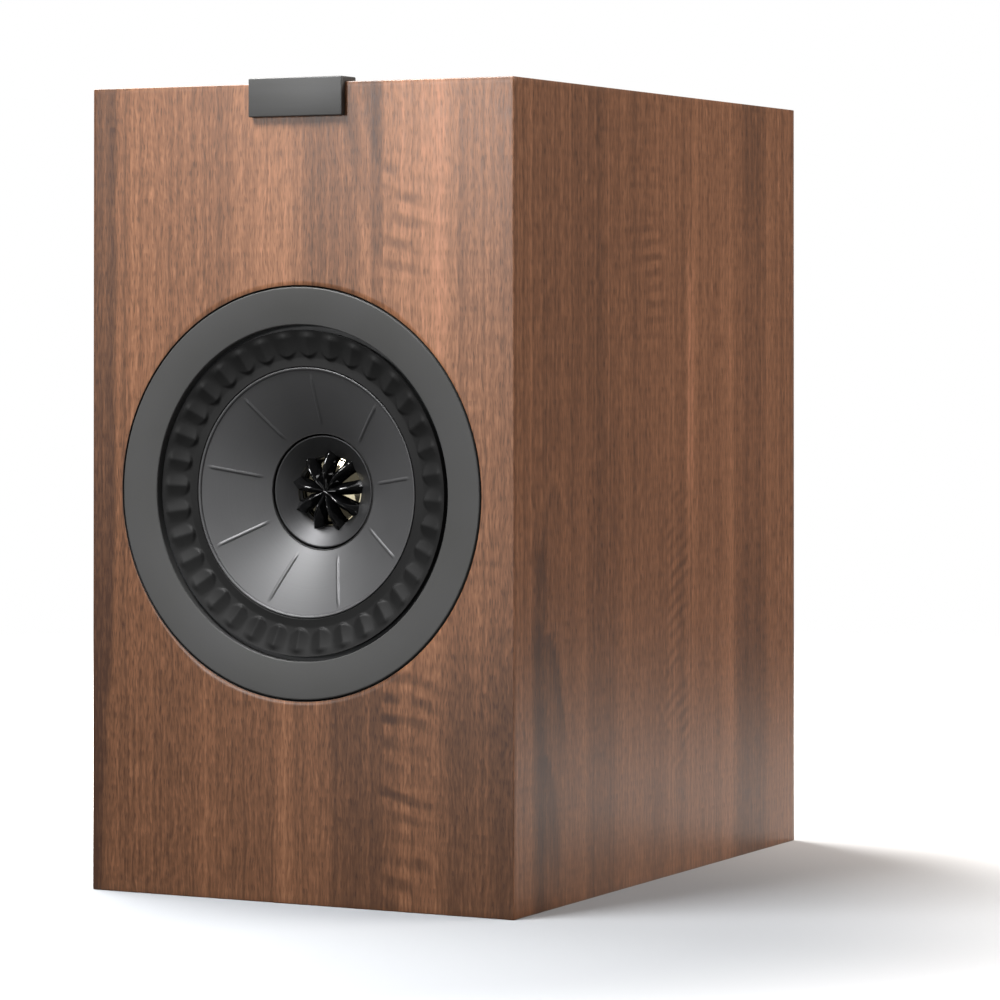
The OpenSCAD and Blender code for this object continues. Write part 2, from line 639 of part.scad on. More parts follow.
module post_washers() color("silver") at_posts()
  ring(stud_r + 3.5, stud_r + fit_gap, term_gasket_t - washer_t, term_gasket_t);
module post_nuts() color("silver") at_posts() translate([0, 0, tag_back + tag_t]) difference() {
  cylinder(nut_t, r = stud_r + 3, $fn = 6);
  translate([0, 0, -1]) cylinder(nut_t + 2, r = stud_r);
}

// Tags behind the nuts, each with a tail bent inwards for its wire
module solder_tags() color("gold") at_posts() {
  difference() {
    union() {
      translate([0, 0, tag_back]) cylinder(tag_t, r = stud_r + 3);
      translate([-tag_w / 2, 0, tag_back]) cube([tag_w, tail_y, tag_t]);
    }
    translate([0, 0, tag_back - 1]) cylinder(tag_t + 2, r = stud_r + fit_gap);
  }
  translate([-tag_w / 2, tail_y - tag_t, tag_back - tail_len]) cube([tag_w, tag_t, tail_len + tag_t]);
}

// The crossover
module at_board() translate([0, board_y, board_top]) children();
module board_corners() for (x = [-standoff_x, standoff_x], y = [-standoff_y, standoff_y])
  translate([x, y, 0]) children();

module crossover_board() color("darkgreen") at_board() difference() {
  translate([-board_w / 2, -board_d / 2, -board_t]) cube([board_w, board_d, board_t]);
  board_corners() translate([0, 0, -board_t - 1]) cylinder(board_t + 2, r = screw_r + 0.1);
}
module crossover_standoffs() color("white") at_board() board_corners()
  ring(4, screw_r, -board_t - standoff_h, -board_t);
module crossover_screws() color("silver") at_board() board_corners() {
  cylinder(1.8, r = screw_head_r);
  translate([0, 0, 0.5 - board_t - standoff_h]) cylinder(board_t + standoff_h, r = screw_r);
}
module inductors() color("peru") at_board() {
  translate([-34, 24, 0]) ring(16, 8, 0, 18);
  translate([34, 24, 0]) ring(16, 8, 0, 18);
  translate([-34, -20, 0]) ring(14, 7, 0, 14);
}
module capacitors() color("gold") at_board() {
  for (x = [-9, 9]) translate([x, 4, 8]) rotate([-90, 0, 0]) cylinder(34, r = 8);
  translate([38, -18, 0]) cylinder(28, r = 8);
}
module resistors() color("whitesmoke") at_board()
  for (y = [-12, -26]) translate([-14, y, 0]) cube([38, 9, 9]);

// Wires: each ends square on the tag or board that it is soldered to
module input_wires() for (s = [-1, 1]) {
  x = s * post_pitch / 2;
  tag_y = rear_y + tag_back - tail_len + 3;
  top_z = term_z - tail_y;
  color(s < 0 ? "red" : "black") wire([
    [x, tag_y, top_z], [x, tag_y, top_z - 6], [x * 1.1, board_y + 43, top_z - 18],
    [x * 1.15, board_y + 42, board_top + 8], [x * 1.15, board_y + 42, board_top]], wire_r, [1, 0, 0]);
}

module bass_wires() for (s = [-1, 1]) {
  x = s * tag_x;
  face = driver_z - tag_face - tag_t;
  y = front_y + tag_depth;
  color(s < 0 ? "red" : "black") wire([
    [x, y, face], [x, y, face - 5], [x, y + 8, face - 26], [x * 2, brace_y - 12, wall_t + brace_border + 14],
    [x * 2.4, brace_y + brace_t + 6, wall_t + brace_border + 10], [x * 2.4, board_y - 40, board_top + 9],
    [x * 2.4, board_y - 40, board_top]], wire_r, [1, 0, 0]);
}

module tweeter_wires() for (s = [-1, 1]) {
  x = s * 1.6;
  end = board_y - 36;
  color(s < 0 ? "red" : "black") wire([
    [x, front_y + pole_plate_back + lead_block_t, driver_z], [x, front_y + 40, driver_z],
    [x, front_y + 60, driver_z], [x, brace_y, driver_z], [x, brace_y + brace_t + 4, driver_z],
    [x * 2, brace_y + brace_t + 16, driver_z - 14], [x * 3, brace_y + brace_t + 20, driver_z - 60],
    [x * 3, end, board_top + 12], [x * 3, end, board_top]], thin_wire_r, [1, 0, 0]);
}

front_baffle();
left_panel();
right_panel();
top_panel();
bottom_panel();
rear_panel();
window_brace();
motor_pad();
foam_lining();
badge();
trim_ring();
driver_gasket();
driver_chassis();
driver_screws();
surround();
bass_cone();
coil_former();
bass_voice_coil();
spider();
front_plate();
ferrite_magnet();
pole_yoke();
driver_tag_strip();
driver_tags();
tinsel_leads();
tweeter_horn();
phase_plug();
tweeter_dome();
dome_surround();
tweeter_coil();
tweeter_pole_plate();
tweeter_magnet();
tweeter_yoke();
tweeter_stem();
tweeter_lead_block();
port_flare();
port_tube();
terminal_plate();
terminal_gasket();
terminal_screws();
post_studs();
positive_base();
negative_base();
positive_insert();
negative_insert();
positive_knob();
negative_knob();
post_washers();
post_nuts();
solder_tags();
crossover_board();
crossover_standoffs();
crossover_screws();
inductors();
capacitors();
resistors();
input_wires();
bass_wires();
tweeter_wires();
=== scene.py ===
# A two-way bookshelf speaker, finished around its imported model.
import math
import bmesh
import bpy
import numpy as np
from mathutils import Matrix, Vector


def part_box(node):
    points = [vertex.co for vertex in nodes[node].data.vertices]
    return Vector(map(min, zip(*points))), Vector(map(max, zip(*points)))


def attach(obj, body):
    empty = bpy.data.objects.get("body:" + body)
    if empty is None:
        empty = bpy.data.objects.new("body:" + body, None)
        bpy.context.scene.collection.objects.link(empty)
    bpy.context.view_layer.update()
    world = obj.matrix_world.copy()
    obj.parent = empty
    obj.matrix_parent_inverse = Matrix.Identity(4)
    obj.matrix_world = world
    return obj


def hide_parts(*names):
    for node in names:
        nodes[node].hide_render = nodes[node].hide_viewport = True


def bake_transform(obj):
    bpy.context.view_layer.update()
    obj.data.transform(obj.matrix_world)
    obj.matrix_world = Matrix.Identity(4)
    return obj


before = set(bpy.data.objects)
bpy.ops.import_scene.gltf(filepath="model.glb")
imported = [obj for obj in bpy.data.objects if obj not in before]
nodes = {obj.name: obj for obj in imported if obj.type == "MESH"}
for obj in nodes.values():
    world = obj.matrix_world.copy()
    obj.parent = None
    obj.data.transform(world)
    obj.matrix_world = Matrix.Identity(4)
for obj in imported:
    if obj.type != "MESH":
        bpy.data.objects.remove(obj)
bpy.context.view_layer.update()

mm = 0.001

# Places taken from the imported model
baffleLow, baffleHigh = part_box("front_baffle")
rearLow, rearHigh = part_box("rear_panel")
ringLow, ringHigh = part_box("trim_ring")
frontY = baffleLow[1]
rearY = rearHigh[1]
halfWidth = baffleHigh[0]
cabinetHeight = baffleHigh[2]
driverZ = (ringLow[2] + ringHigh[2]) / 2
ringRadius = (ringHigh[0] - ringLow[0]) / 2


# Meshes

# Quads through a grid of points that closes on itself round its columns, and round its rows if asked
def gridFaces(rows, columns, closeRows=False):
    index = np.arange(rows * columns).reshape(rows, columns)
    if closeRows:
        index = np.vstack([index, index[:1]])
    index = np.hstack([index, index[:, :1]])
    corners = [index[:-1, :-1], index[:-1, 1:], index[1:, 1:], index[1:, :-1]]
    return np.stack(corners, axis=-1).reshape(-1, 4)


def gridPiece(name, points, closeRows=False, sharp=35):
    return meshPiece(name, points.reshape(-1, 3), gridFaces(*points.shape[:2], closeRows).tolist(), sharp)


# A closed mesh: doubled points merged, faces turned outwards, smooth up to the sharp angle in degrees
def meshPiece(name, points, faces, sharp=35):
    mesh = bpy.data.meshes.new(name)
    mesh.from_pydata(points.tolist(), [], faces)
    work = bmesh.new()
    work.from_mesh(mesh)
    bmesh.ops.remove_doubles(work, verts=work.verts, dist=0.002 * mm)
    bmesh.ops.dissolve_degenerate(work, edges=work.edges, dist=0.001 * mm)
    bmesh.ops.recalc_face_normals(work, faces=work.faces)
    work.to_mesh(mesh)
    work.free()
    mesh.shade_smooth()
    mesh.set_sharp_from_angle(angle=math.radians(sharp))
    piece = bpy.data.objects.new(name, mesh)
    bpy.context.scene.collection.objects.link(piece)
    return piece


# An outline of (across, along, fillet radius) corners, each turned to an arc of that radius
def filleted(corners, steps=5):
    outline = []
    for i, (a, b, radius) in enumerate(corners):
        corner = np.array((a, b))
        before = np.array(corners[i - 1][:2]) - corner
        after = np.array(corners[(i + 1) % len(corners)][:2]) - corner
        before = before / np.linalg.norm(before)
        after = after / np.linalg.norm(after)
        half = math.acos(np.clip(before @ after, -1, 1)) / 2
        middle = corner + (before + after) / np.linalg.norm(before + after) * radius / math.sin(half)
        start = corner + before * radius / math.tan(half) - middle
        end = corner + after * radius / math.tan(half) - middle
        sweep = math.pi - 2 * half
        for k in range(steps + 1):
            w = k / steps
            turn = (math.sin((1 - w) * sweep) * start + math.sin(w * sweep) * end) / math.sin(sweep)
            outline.append(middle + turn)
    return np.array(outline)


# Points around the driver's axis: radius and depth behind the baffle, at an angle seen from the front
def aroundDriver(radius, depth, angle):
    x, y, z = np.broadcast_arrays(radius * np.cos(angle), frontY + depth, driverZ + radius * np.sin(angle))
    return np.stack([x, y, z], axis=-1)


# A closed profile of (radius, depth) in millimetres turned about the driver's axis
def turnedPiece(name, profile, columns=256, sharp=35):
    angle = np.arange(columns) * 2 * math.pi / columns
    return gridPiece(name, aroundDriver(profile[:, :1] * mm, profile[:, 1:] * mm, angle[None, :]),
                     closeRows=True, sharp=sharp)


# Smooth step from 0 at low to 1 at high
def smooth(low, high, value):
    part = np.clip((value - low) / (high - low), 0, 1)
    return part * part * (3 - 2 * part)


# Gives a piece its finish, its body if one is given, and hides the nodes it stands for; the slot is not used
def keep(piece, body, slot, material, *replaced):
    piece.data.materials.append(material)
    if body:
        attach(piece, body)
    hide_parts(*replaced)


# Colours and nodes

# A hex colour as linear red, green, blue and a full alpha
def linear(hexColour):
    parts = [int(hexColour[i:i + 2], 16) / 255 for i in (1, 3, 5)]
    return [p / 12.92 if p <= 0.04045 else ((p + 0.055) / 1.055) ** 2.4 for p in parts] + [1]


# Adds a node: settings are its properties, inputs are values or sockets by name or number
def addNode(tree, kind, inputs=None, **settings):
    node = tree.nodes.new("ShaderNode" + kind)
    for key, value in settings.items():
        setattr(node, key, value)
    for key, value in (inputs or {}).items():
        if isinstance(value, bpy.types.NodeSocket):
            tree.links.new(value, node.inputs[key])
        else:
            node.inputs[key].default_value = value
    return node


# A sum, product or other operation on values
def worked(tree, operation, *values):
    return addNode(tree, "Math", dict(enumerate(values)), operation=operation).outputs[0]


# A value carried from one span to another, evenly or with eased ends
def mapped(tree, value, span, onto=(0, 1), kind="LINEAR"):
    return addNode(tree, "MapRange", {"Value": value, "From Min": span[0], "From Max": span[1],
                                      "To Min": onto[0], "To Max": onto[1]}, interpolation_type=kind).outputs[0]


# Two colours mixed by a share from 0 to 1
def mixed(tree, share, first, second):
    return addNode(tree, "Mix", {0: share, 6: first, 7: second}, data_type="RGBA").outputs[2]


# A colour ramp through stops, each a place and a hex colour
def colourRamp(tree, value, stops):
    ramp = addNode(tree, "ValToRGB", {"Fac": value})
    elements = ramp.color_ramp.elements
    for i, (at, colour) in enumerate(stops):
        stop = elements[i] if i < 2 else elements.new(at)
        stop.position, stop.color = at, linear(colour)
    return ramp.outputs[0]


# A bump with its height in millimetres
def bumped(tree, pattern, strength, height):
    return addNode(tree, "Bump", {"Height": pattern, "Strength": strength, "Distance": height * mm}).outputs[0]


def newMaterial(name):
    material = bpy.data.materials.new(name)
    material.use_nodes = True
    material.node_tree.nodes.clear()
    return material, material.node_tree


def finishMaterial(tree, shader):
    addNode(tree, "OutputMaterial", {"Surface": shader.outputs[0]})


# Camera, floor and light

camera = dict(place=(756.8, -1393.2, 212.4), turn=26.18, tilt=0.49, lens=143.6, shiftX=-0.1222, shiftY=-0.2059)
cameraData = bpy.data.cameras.new("camera")
cameraData.lens = camera["lens"]
cameraData.shift_x = camera["shiftX"]
cameraData.shift_y = camera["shiftY"]
cameraData.clip_end = 20
cameraObject = bpy.data.objects.new("camera", cameraData)
cameraObject.location = [c * mm for c in camera["place"]]
cameraObject.rotation_euler = (math.radians(90 + camera["tilt"]), 0, math.radians(camera["turn"]))
bpy.context.scene.collection.objects.link(cameraObject)
bpy.context.scene.camera = cameraObject
bpy.context.scene.view_settings.view_transform = "Standard"

# Softboxes: place, aim and size in metres, power in watts
lamps = dict(
    key=dict(place=(-1.3, 0.5, 1.35), aim=(0, 0.1, 0.1), size=(1.2, 1.2), power=80, colour="#FFFDFA"),
    overhead=dict(place=(-0.18, -0.45, 0.75), aim=(0, -0.125, 0.15), size=(0.36, 0.24), power=10.6,
                  colour="#FFFFFF"),
    sheen=dict(place=(-0.55, -1.4, 0.48), aim=(0, -0.1, 0.2), size=(0.34, 0.26), power=5.4, colour="#FFFFFF"),
    glint=dict(place=(0.51, -1.32, 0.1), aim=(0, -0.12, 0.15), size=(0.12, 0.12), power=1.5, colour="#FFFFFF"),
    card=dict(place=(0.0, -0.41, 0.01), aim=(0, -0.125, 0.15), size=(0.34, 0.26), power=0.24, colour="#FFFFFF"),
    fill=dict(place=(0.95, 0.35, 0.8), aim=(0.09, 0.05, 0.2), size=(0.6, 0.5), power=13.3, colour="#FFF7F0"),
)
for name, lamp in lamps.items():
    light = bpy.data.lights.new(name, "AREA")
    light.shape = "RECTANGLE"
    light.size, light.size_y = lamp["size"]
    light.energy = lamp["power"]
    light.color = linear(lamp["colour"])[:3]
    lampObject = bpy.data.objects.new(name, light)
    lampObject.location = lamp["place"]
    aim = np.array(lamp["aim"]) - lamp["place"]
    lampObject.rotation_euler = (math.atan2(math.hypot(aim[0], aim[1]), -aim[2]), 0,
                                 math.atan2(-aim[0], aim[1]))
    bpy.context.scene.collection.objects.link(lampObject)


# Rays that show the studio itself: those of the camera, through glass and off gloss
def showsStudio(tree):
    path = addNode(tree, "LightPath").outputs
    return worked(tree, "MAXIMUM", path["Is Camera Ray"], path["Is Transmission Ray"]), path["Is Glossy Ray"]


# White wherever it is seen, and in reflections where the white sweep stands behind the cabinet; dim elsewhere,
# as a studio is beyond its lamps
studio = dict(fill=0.12, behind=(-0.44, 0.90, 0), wide=(0.78, 0.92))
world = bpy.data.worlds.new("studio")
world.use_nodes = True
world.node_tree.nodes.clear()
through, glossy = showsStudio(world.node_tree)
facing = addNode(world.node_tree, "VectorMath", {0: addNode(world.node_tree, "TexCoord").outputs["Object"],
                                                 1: studio["behind"]}, operation="DOT_PRODUCT")
sweep = mapped(world.node_tree, facing.outputs["Value"], studio["wide"], kind="SMOOTHSTEP")
seen = worked(world.node_tree, "MAXIMUM", through, worked(world.node_tree, "MULTIPLY", sweep, glossy))
level = mapped(world.node_tree, seen, (0, 1), (studio["fill"], 1))
back = addNode(world.node_tree, "Background", {"Color": linear("#FFFFFF"), "Strength": level})
addNode(world.node_tree, "OutputWorld", {"Surface": back.outputs[0]})
bpy.context.scene.world = world


# A white floor with painted shade round the cabinet: grey there, a little cool against the warm fill, whitening
# outwards. It fades out behind the cabinet, so that no horizon shows, and returns little light to the cabinet,
# as the dim room does; gloss sees it bright beside the cabinet and dark in front
def floorPaint():
    facts = dict(
        fade=(0.55, 1.25),                              # metres from the origin
        # painted shade: near is the grey painted round the cabinet, cooled against the warm fill, whitening
        # outwards from middle
        near="#A0A3A7", far="#FFFFFF", middle=(0.02, -0.16, 0), paintedShadeSpan=(0.15, 0.45),
        returned="#5A5A5A",                             # to the cabinet
        mirrored="#D0D0D0", dark="#202020",             # in gloss: bright beside and behind, dark elsewhere
        brightBehind=(-0.16, -0.02), dimBeyond=(0.85, 0.45),
    )
    material, tree = newMaterial("white studio floor")
    place = addNode(tree, "TexCoord").outputs["Object"]
    distance = addNode(tree, "VectorMath", {0: place}, operation="LENGTH").outputs["Value"]
    outwards = addNode(tree, "VectorMath", {0: place, 1: facts["middle"]},
                       operation="DISTANCE").outputs["Value"]
    axes = addNode(tree, "SeparateXYZ", {0: place})
    fade = mapped(tree, distance, facts["fade"], kind="SMOOTHSTEP")
    behind = mapped(tree, axes.outputs["Y"], facts["brightBehind"], kind="SMOOTHSTEP")
    near = mapped(tree, distance, facts["dimBeyond"], kind="SMOOTHSTEP")
    mirrored = mixed(tree, worked(tree, "MULTIPLY", behind, near), linear(facts["dark"]),
                     linear(facts["mirrored"]))
    through, glossy = showsStudio(tree)
    unseen = mixed(tree, glossy, linear(facts["returned"]), mirrored)
    # painted shade round the cabinet, fading to white outwards
    paintedShadeFade = mapped(tree, outwards, facts["paintedShadeSpan"], kind="SMOOTHSTEP")
    white = mixed(tree, paintedShadeFade, linear(facts["near"]), linear(facts["far"]))
    paint = addNode(tree, "BsdfDiffuse", {"Color": mixed(tree, through, unseen, white)})
    gone = addNode(tree, "BsdfTransparent")
    finishMaterial(tree, addNode(tree, "MixShader", {0: fade, 1: paint.outputs[0], 2: gone.outputs[0]}))
    return material


reach = 3.0        # metres each way
floorMesh = bpy.data.meshes.new("floor")
floorMesh.from_pydata([(-reach, -reach, 0), (reach, -reach, 0), (reach, reach, 0), (-reach, reach, 0)],
                      [], [(0, 1, 2, 3)])
floorMesh.materials.append(floorPaint())
floor = bpy.data.objects.new("floor", floorMesh)
bpy.context.scene.collection.objects.link(floor)
print("camera, lamps and floor set")


# The cabinet: one wrapped shell

cabinet = dict(
    edge=0.4 * mm,          # radius of the wrapped edges
    across=84, up=150,      # points along the short and long sides of an outline
    cornerSteps=3, frontRows=46, sideRows=118,
    ringGap=0.6 * mm,       # between the trim ring and the rebate
    rebateRound=0.05 * mm,  # the cut edge of the rebate
    cutRadius=61.5 * mm, cutChamfer=5 * mm,
    bareInside=10 * mm, bareBehind=5 * mm,   # faces this far in from the edges and the front aren't veneered
    turned=(243, 34),       # how far the left side's figure is shifted, in millimetres
    # painted shade: the top's veneer is made darker, as the lamp above lights it most
    topPaintedShade=0.22,
)


# Fractions along the straight sides and directions of the corner arcs, once round an outline
def outlineTemplate():
    place, outward = [], []
    for k, (a, b) in enumerate([((1, -1), (1, 1)), ((1, 1), (-1, 1)), ((-1, 1), (-1, -1)),
                                ((-1, -1), (1, -1))]):
        count = cabinet["up"] if k % 2 == 0 else cabinet["across"]
        part = np.arange(count)[:, None] / (count - 1)
        place.append(np.array(a) * (1 - part) + np.array(b) * part)
        outward.append(np.tile([(1, 0), (0, 1), (-1, 0), (0, -1)][k], (count, 1)))
        turn = (k + np.arange(1, cabinet["cornerSteps"]) / cabinet["cornerSteps"]) * math.pi / 2
        place.append(np.tile(b, (len(turn), 1)))
        outward.append(np.stack([np.cos(turn), np.sin(turn)], axis=-1))
    return np.vstack(place).astype(float), np.vstack(outward)


# A loop round the cabinet at depth y: a rectangle of half sizes w and h with corner radius r
def boxLoop(template, w, h, r, y):
    flat = template[0] * (w - r, h - r) + r * template[1]
    return np.column_stack([flat[:, 0], np.full(len(flat), y), driverZ + flat[:, 1]])


# The same number of points on a circle, each in line with its point on the outer rectangle
def circleLoop(outer, radius, y):
    angle = np.arctan2(outer[:, 2] - driverZ, outer[:, 0])
    return np.column_stack([radius * np.cos(angle), np.full(len(outer), y), driverZ + radius * np.sin(angle)])


# Loops from the driver's rebate out over the front, back along the sides, round the rear lip and
# forward again inside the walls, joined into one closed skin
def cabinetShell():
    template = outlineTemplate()
    r = cabinet["edge"]
    w, h = halfWidth, cabinetHeight / 2
    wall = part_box("left_panel")[1][0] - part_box("left_panel")[0][0]
    insideY = baffleHigh[1]
    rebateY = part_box("driver_gasket")[1][1]
    rebate, cutEdge = ringRadius + cabinet["ringGap"], cabinet["rebateRound"]
    outer = boxLoop(template, w, h, r, frontY)
    loops = [circleLoop(outer, rebate, rebateY), circleLoop(outer, rebate, frontY + cutEdge)]
    start = circleLoop(outer, rebate + cutEdge, frontY)
    end = boxLoop(template, w - r, h - r, 0, frontY)
    for part in np.linspace(0, 1, cabinet["frontRows"]):
        loops.append(start * (1 - part) + end * part)
    for turn in np.linspace(0, math.pi / 2, 4)[1:]:
        inset = r - r * math.sin(turn)
        loops.append(boxLoop(template, w - inset, h - inset, r * math.sin(turn),
                             frontY + r - r * math.cos(turn)))
    for y in np.linspace(frontY + r, rearY - r, cabinet["sideRows"])[1:]:
        loops.append(boxLoop(template, w, h, r, y))
    for turn in np.linspace(0, math.pi / 2, 4)[1:]:
        inset = r - r * math.cos(turn)
        loops.append(boxLoop(template, w - inset, h - inset, r * math.cos(turn),
                             rearY - r + r * math.sin(turn)))
    for y in (rearY, rearLow[1]):
        loops.append(boxLoop(template, rearHigh[0], (rearHigh[2] - rearLow[2]) / 2, 0, y))
    for y in (rearLow[1], insideY):
        loops.append(boxLoop(template, w - wall, h - wall, 0, y))
    cut, chamfer = cabinet["cutRadius"], cabinet["cutChamfer"]
    loops += [circleLoop(outer, cut + chamfer, insideY), circleLoop(outer, cut, insideY - chamfer),
              circleLoop(outer, cut, rebateY)]
    return gridPiece("cabinet_shell", np.array(loops), closeRows=True, sharp=50)


# The veneer's figure, in millimetres: across the grain first, then along it

# 1 inside low..high, easing to 0 over soft on both sides
def between(value, low, high, soft):
    return smooth(low - soft, low + soft, value) * (1 - smooth(high - soft, high + soft, value))


# Smooth random hills from -1 to 1: a seeded lattice with cells of the given size, eased between its points
def hills(across, along, cellAcross, cellAlong, seed):
    lattice = np.random.default_rng(seed).uniform(-1, 1, (256, 256))
    i, j = across / cellAcross + 512, along / cellAlong + 512
    i0, j0 = np.floor(i).astype(int), np.floor(j).astype(int)
    fi, fj = smooth(0, 1, i - i0), smooth(0, 1, j - j0)
    corner = [[lattice[(i0 + p) % 256, (j0 + q) % 256] for q in (0, 1)] for p in (0, 1)]
    return ((corner[0][0] * (1 - fi) + corner[1][0] * fi) * (1 - fj)
            + (corner[0][1] * (1 - fi) + corner[1][1] * fi) * fj)


# Phase of the wavy cross figure, in turns: ripples along the grain, one every step, leaning, a little uneven
def curl(across, along, step, lean, seed):
    return (along + lean * across) / step + 0.30 * hills(across, along, 17, 22, seed)


# Uneven strength of the cross figure, so that it comes and goes
def patches(across, along, seed):
    return 0.55 + 1.1 * hills(across, along, 9, 7, seed)


# What all of the veneer has: streaks along the grain, wide ones and narrow ones, and soft mottling
def streaks(across, along, seed):
    return (0.10 * hills(across, along, 7, 240, seed) + 0.05 * hills(across, along, 3, 120, seed + 1)
            + 0.05 * hills(across, along, 4, 11, seed + 2))


# The front at x and z: its tone, where 0 is the middle one and 0.1 about a tenth lighter, with painted shade
# towards the bottom, then the phase and the strength of its cross figure
def frontFigure(x, z):
    a = x + 1.6 * hills(x, z, 14, 60, 1)
    b = x + 0.8 * hills(x, z, 6, 16, 2)
    low = 1 - smooth(70, 110, z)
    high = 1 - low
    # painted shade: the front darker towards the bottom, where less of the overhead light falls
    tone = streaks(x, z, 3) - 0.19 * (1 - smooth(60, 230, z))
    edge = -80 - 6 * (1 - smooth(0, 150, z))
    tone -= 0.50 * (1 - smooth(edge - 2, edge + 1.5, b))
    tone -= (0.08 * between(a, -80, -45, 3)
             - 0.10 * between(a, -80, -45, 3) * np.sin(a * 2.1) * (0.4 + 0.6 * low))
    tone -= 0.12 * between(a, -45, -29, 4) * high
    tone += 0.07 * between(a, -25, -1, 4) * high + 0.10 * between(b, -1, 2, 1.5) * high
    tone -= 0.14 * between(b, 4, 13, 3) * high
    tone += 0.18 * between(b, -8, 9, 3) * low - 0.14 * between(b, -1, 3, 1.5) * low
    tone -= 0.24 * between(b, 13, 34, 2.5) * low - 0.12 * between(b, 26, 31, 2) * low
    for tip, foot, depth in ((268, 24.5, -0.36), (235, 15, -0.17)):
        left = 35 - (35 - foot) * np.clip((z - tip) / (315 - tip), 0, 1) ** 0.7
        tone += depth * between(x, left, 35, 0.8) * smooth(tip - 1, tip + 8, z)
        tone += 0.13 * between(x, left - 3.5, left - 1, 1.3) * smooth(tip - 4, tip + 14, z)
    right = smooth(34, 36.5, b)
    tone += right * (0.16 + 0.12 * between(b, 44, 62, 4) - 0.14 * between(b, 66, 71, 2)
                     - 0.10 * smooth(79, 86, a))
    tone -= right * low * (0.24 + 0.10 * smooth(66, 72, a))
    tone += 0.20 * low * between(x, 44, 47, 1.5)
    where = smooth(225, 238, z) * (1 - smooth(266, 282, z)) * (1 - smooth(60, 72, x))
    where += 0.4 * between(z, 110, 225, 14) + low * (1 - smooth(60, 68, x)) + 0.5 * between(z, 66, 100, 8)
    depth = right * where * (0.12 + 0.26 * (1 - smooth(46, 60, x))) * patches(x, z, 6)
    return np.stack([1.15 * tone, curl(x, z, 8.4, 0.22, 5), np.maximum(depth, 0)])


# The same for a side, s back from the front edge: bands, then cathedral lobes, then cross figure
def sideFigure(s, z):
    a = s + 1.8 * hills(s, z, 16, 60, 11)
    b = s + 0.9 * hills(s, z, 6, 18, 12)
    tone = streaks(s, z, 13)
    tone -= 0.14 * between(a, 50, 76, 5) * smooth(120, 240, z)
    tone -= 0.16 * between(a, 60, 86, 6) * (1 - smooth(120, 240, z))
    tone += 0.07 * between(a, 118, 145, 2) * (1 + np.sin(a * 1.15)) * smooth(120, 170, z)
    tone += 0.34 * between(b, 145.5, 151, 1.8) * between(z, 138, 240, 22)
    tone += 0.10 * between(a, 150, 175, 5)
    tone += 0.26 * between(b, 178, 189, 2.2) * (1 - 0.6 * smooth(180, 290, z))
    tone -= 0.22 * between(b, 193, 221, 5) * (1 - smooth(70, 165, z + 12 * hills(s, z, 5, 30, 14)))
    tone -= 0.14 * between(a, 196, 221, 5) * smooth(220, 280, z)
    tone += 0.06 * between(a, 222, 250, 3)
    stem = 20 + 2.5 * hills(s, z, 40, 30, 15)
    tone -= (0.60 * np.exp(-((s - stem) / 4.2) ** 2) * between(z, -60, 134, 18)
             * (0.8 + 0.3 * hills(s, z, 5, 14, 16)))
    for middle, tip, width, length, depth in ((27, 101, 15.5, 42, 0.48), (25, 57, 9, 24, 0.46)):
        reach = middle + width * np.sqrt(np.clip((tip - z) / length, 0, 1.6))
        inside = between(b, 19, reach, 1.2) * (1 - smooth(tip - 2, tip + 1, z))
        tone -= inside * depth * (0.3 + 0.7 * smooth(reach - 10, reach - 1, s)) * smooth(tip - 62, tip - 24, z)
    for tip, depth in ((159, 0.12), (152, -0.12), (184, -0.08), (226, -0.07), (122, -0.06)):
        reach = 17 * np.sqrt(np.clip((tip - z) / 60, 0, 2))
        line = np.exp(-((np.abs(s - 31) - reach) / 2.4) ** 2) * (1 - smooth(tip, tip + 3, z))
        tone += depth * line * smooth(tip - 75, tip - 20, z) * (1 + 0.7 * hills(s, z, 5, 15, 17))
    ticks = between(s, 108, 121, 4) * between(z, 207, 258, 10) * (0.55 + 0.45 * patches(s, z, 20))
    slant = between(s, 127, 148, 4) * between(z, 48, 150, 16)
    faint = between(s, 84, 130, 8) * between(z, 215, 300, 20)
    depth = 0.25 * ticks + (0.26 * slant + 0.10 * faint) * patches(s, z, 19)
    phase = curl(s, z, 5.9, -0.45 * (1 - smooth(150, 205, z)) - 0.06, 18)
    return np.stack([1.3 * tone, phase, np.maximum(depth, 0)])


# One property of all of a mesh's items, in rows of the given width
def readAll(items, key, width=1, kind=float):
    values = np.empty(len(items) * width, kind)
    items.foreach_get(key, values)
    return values.reshape(-1, width)


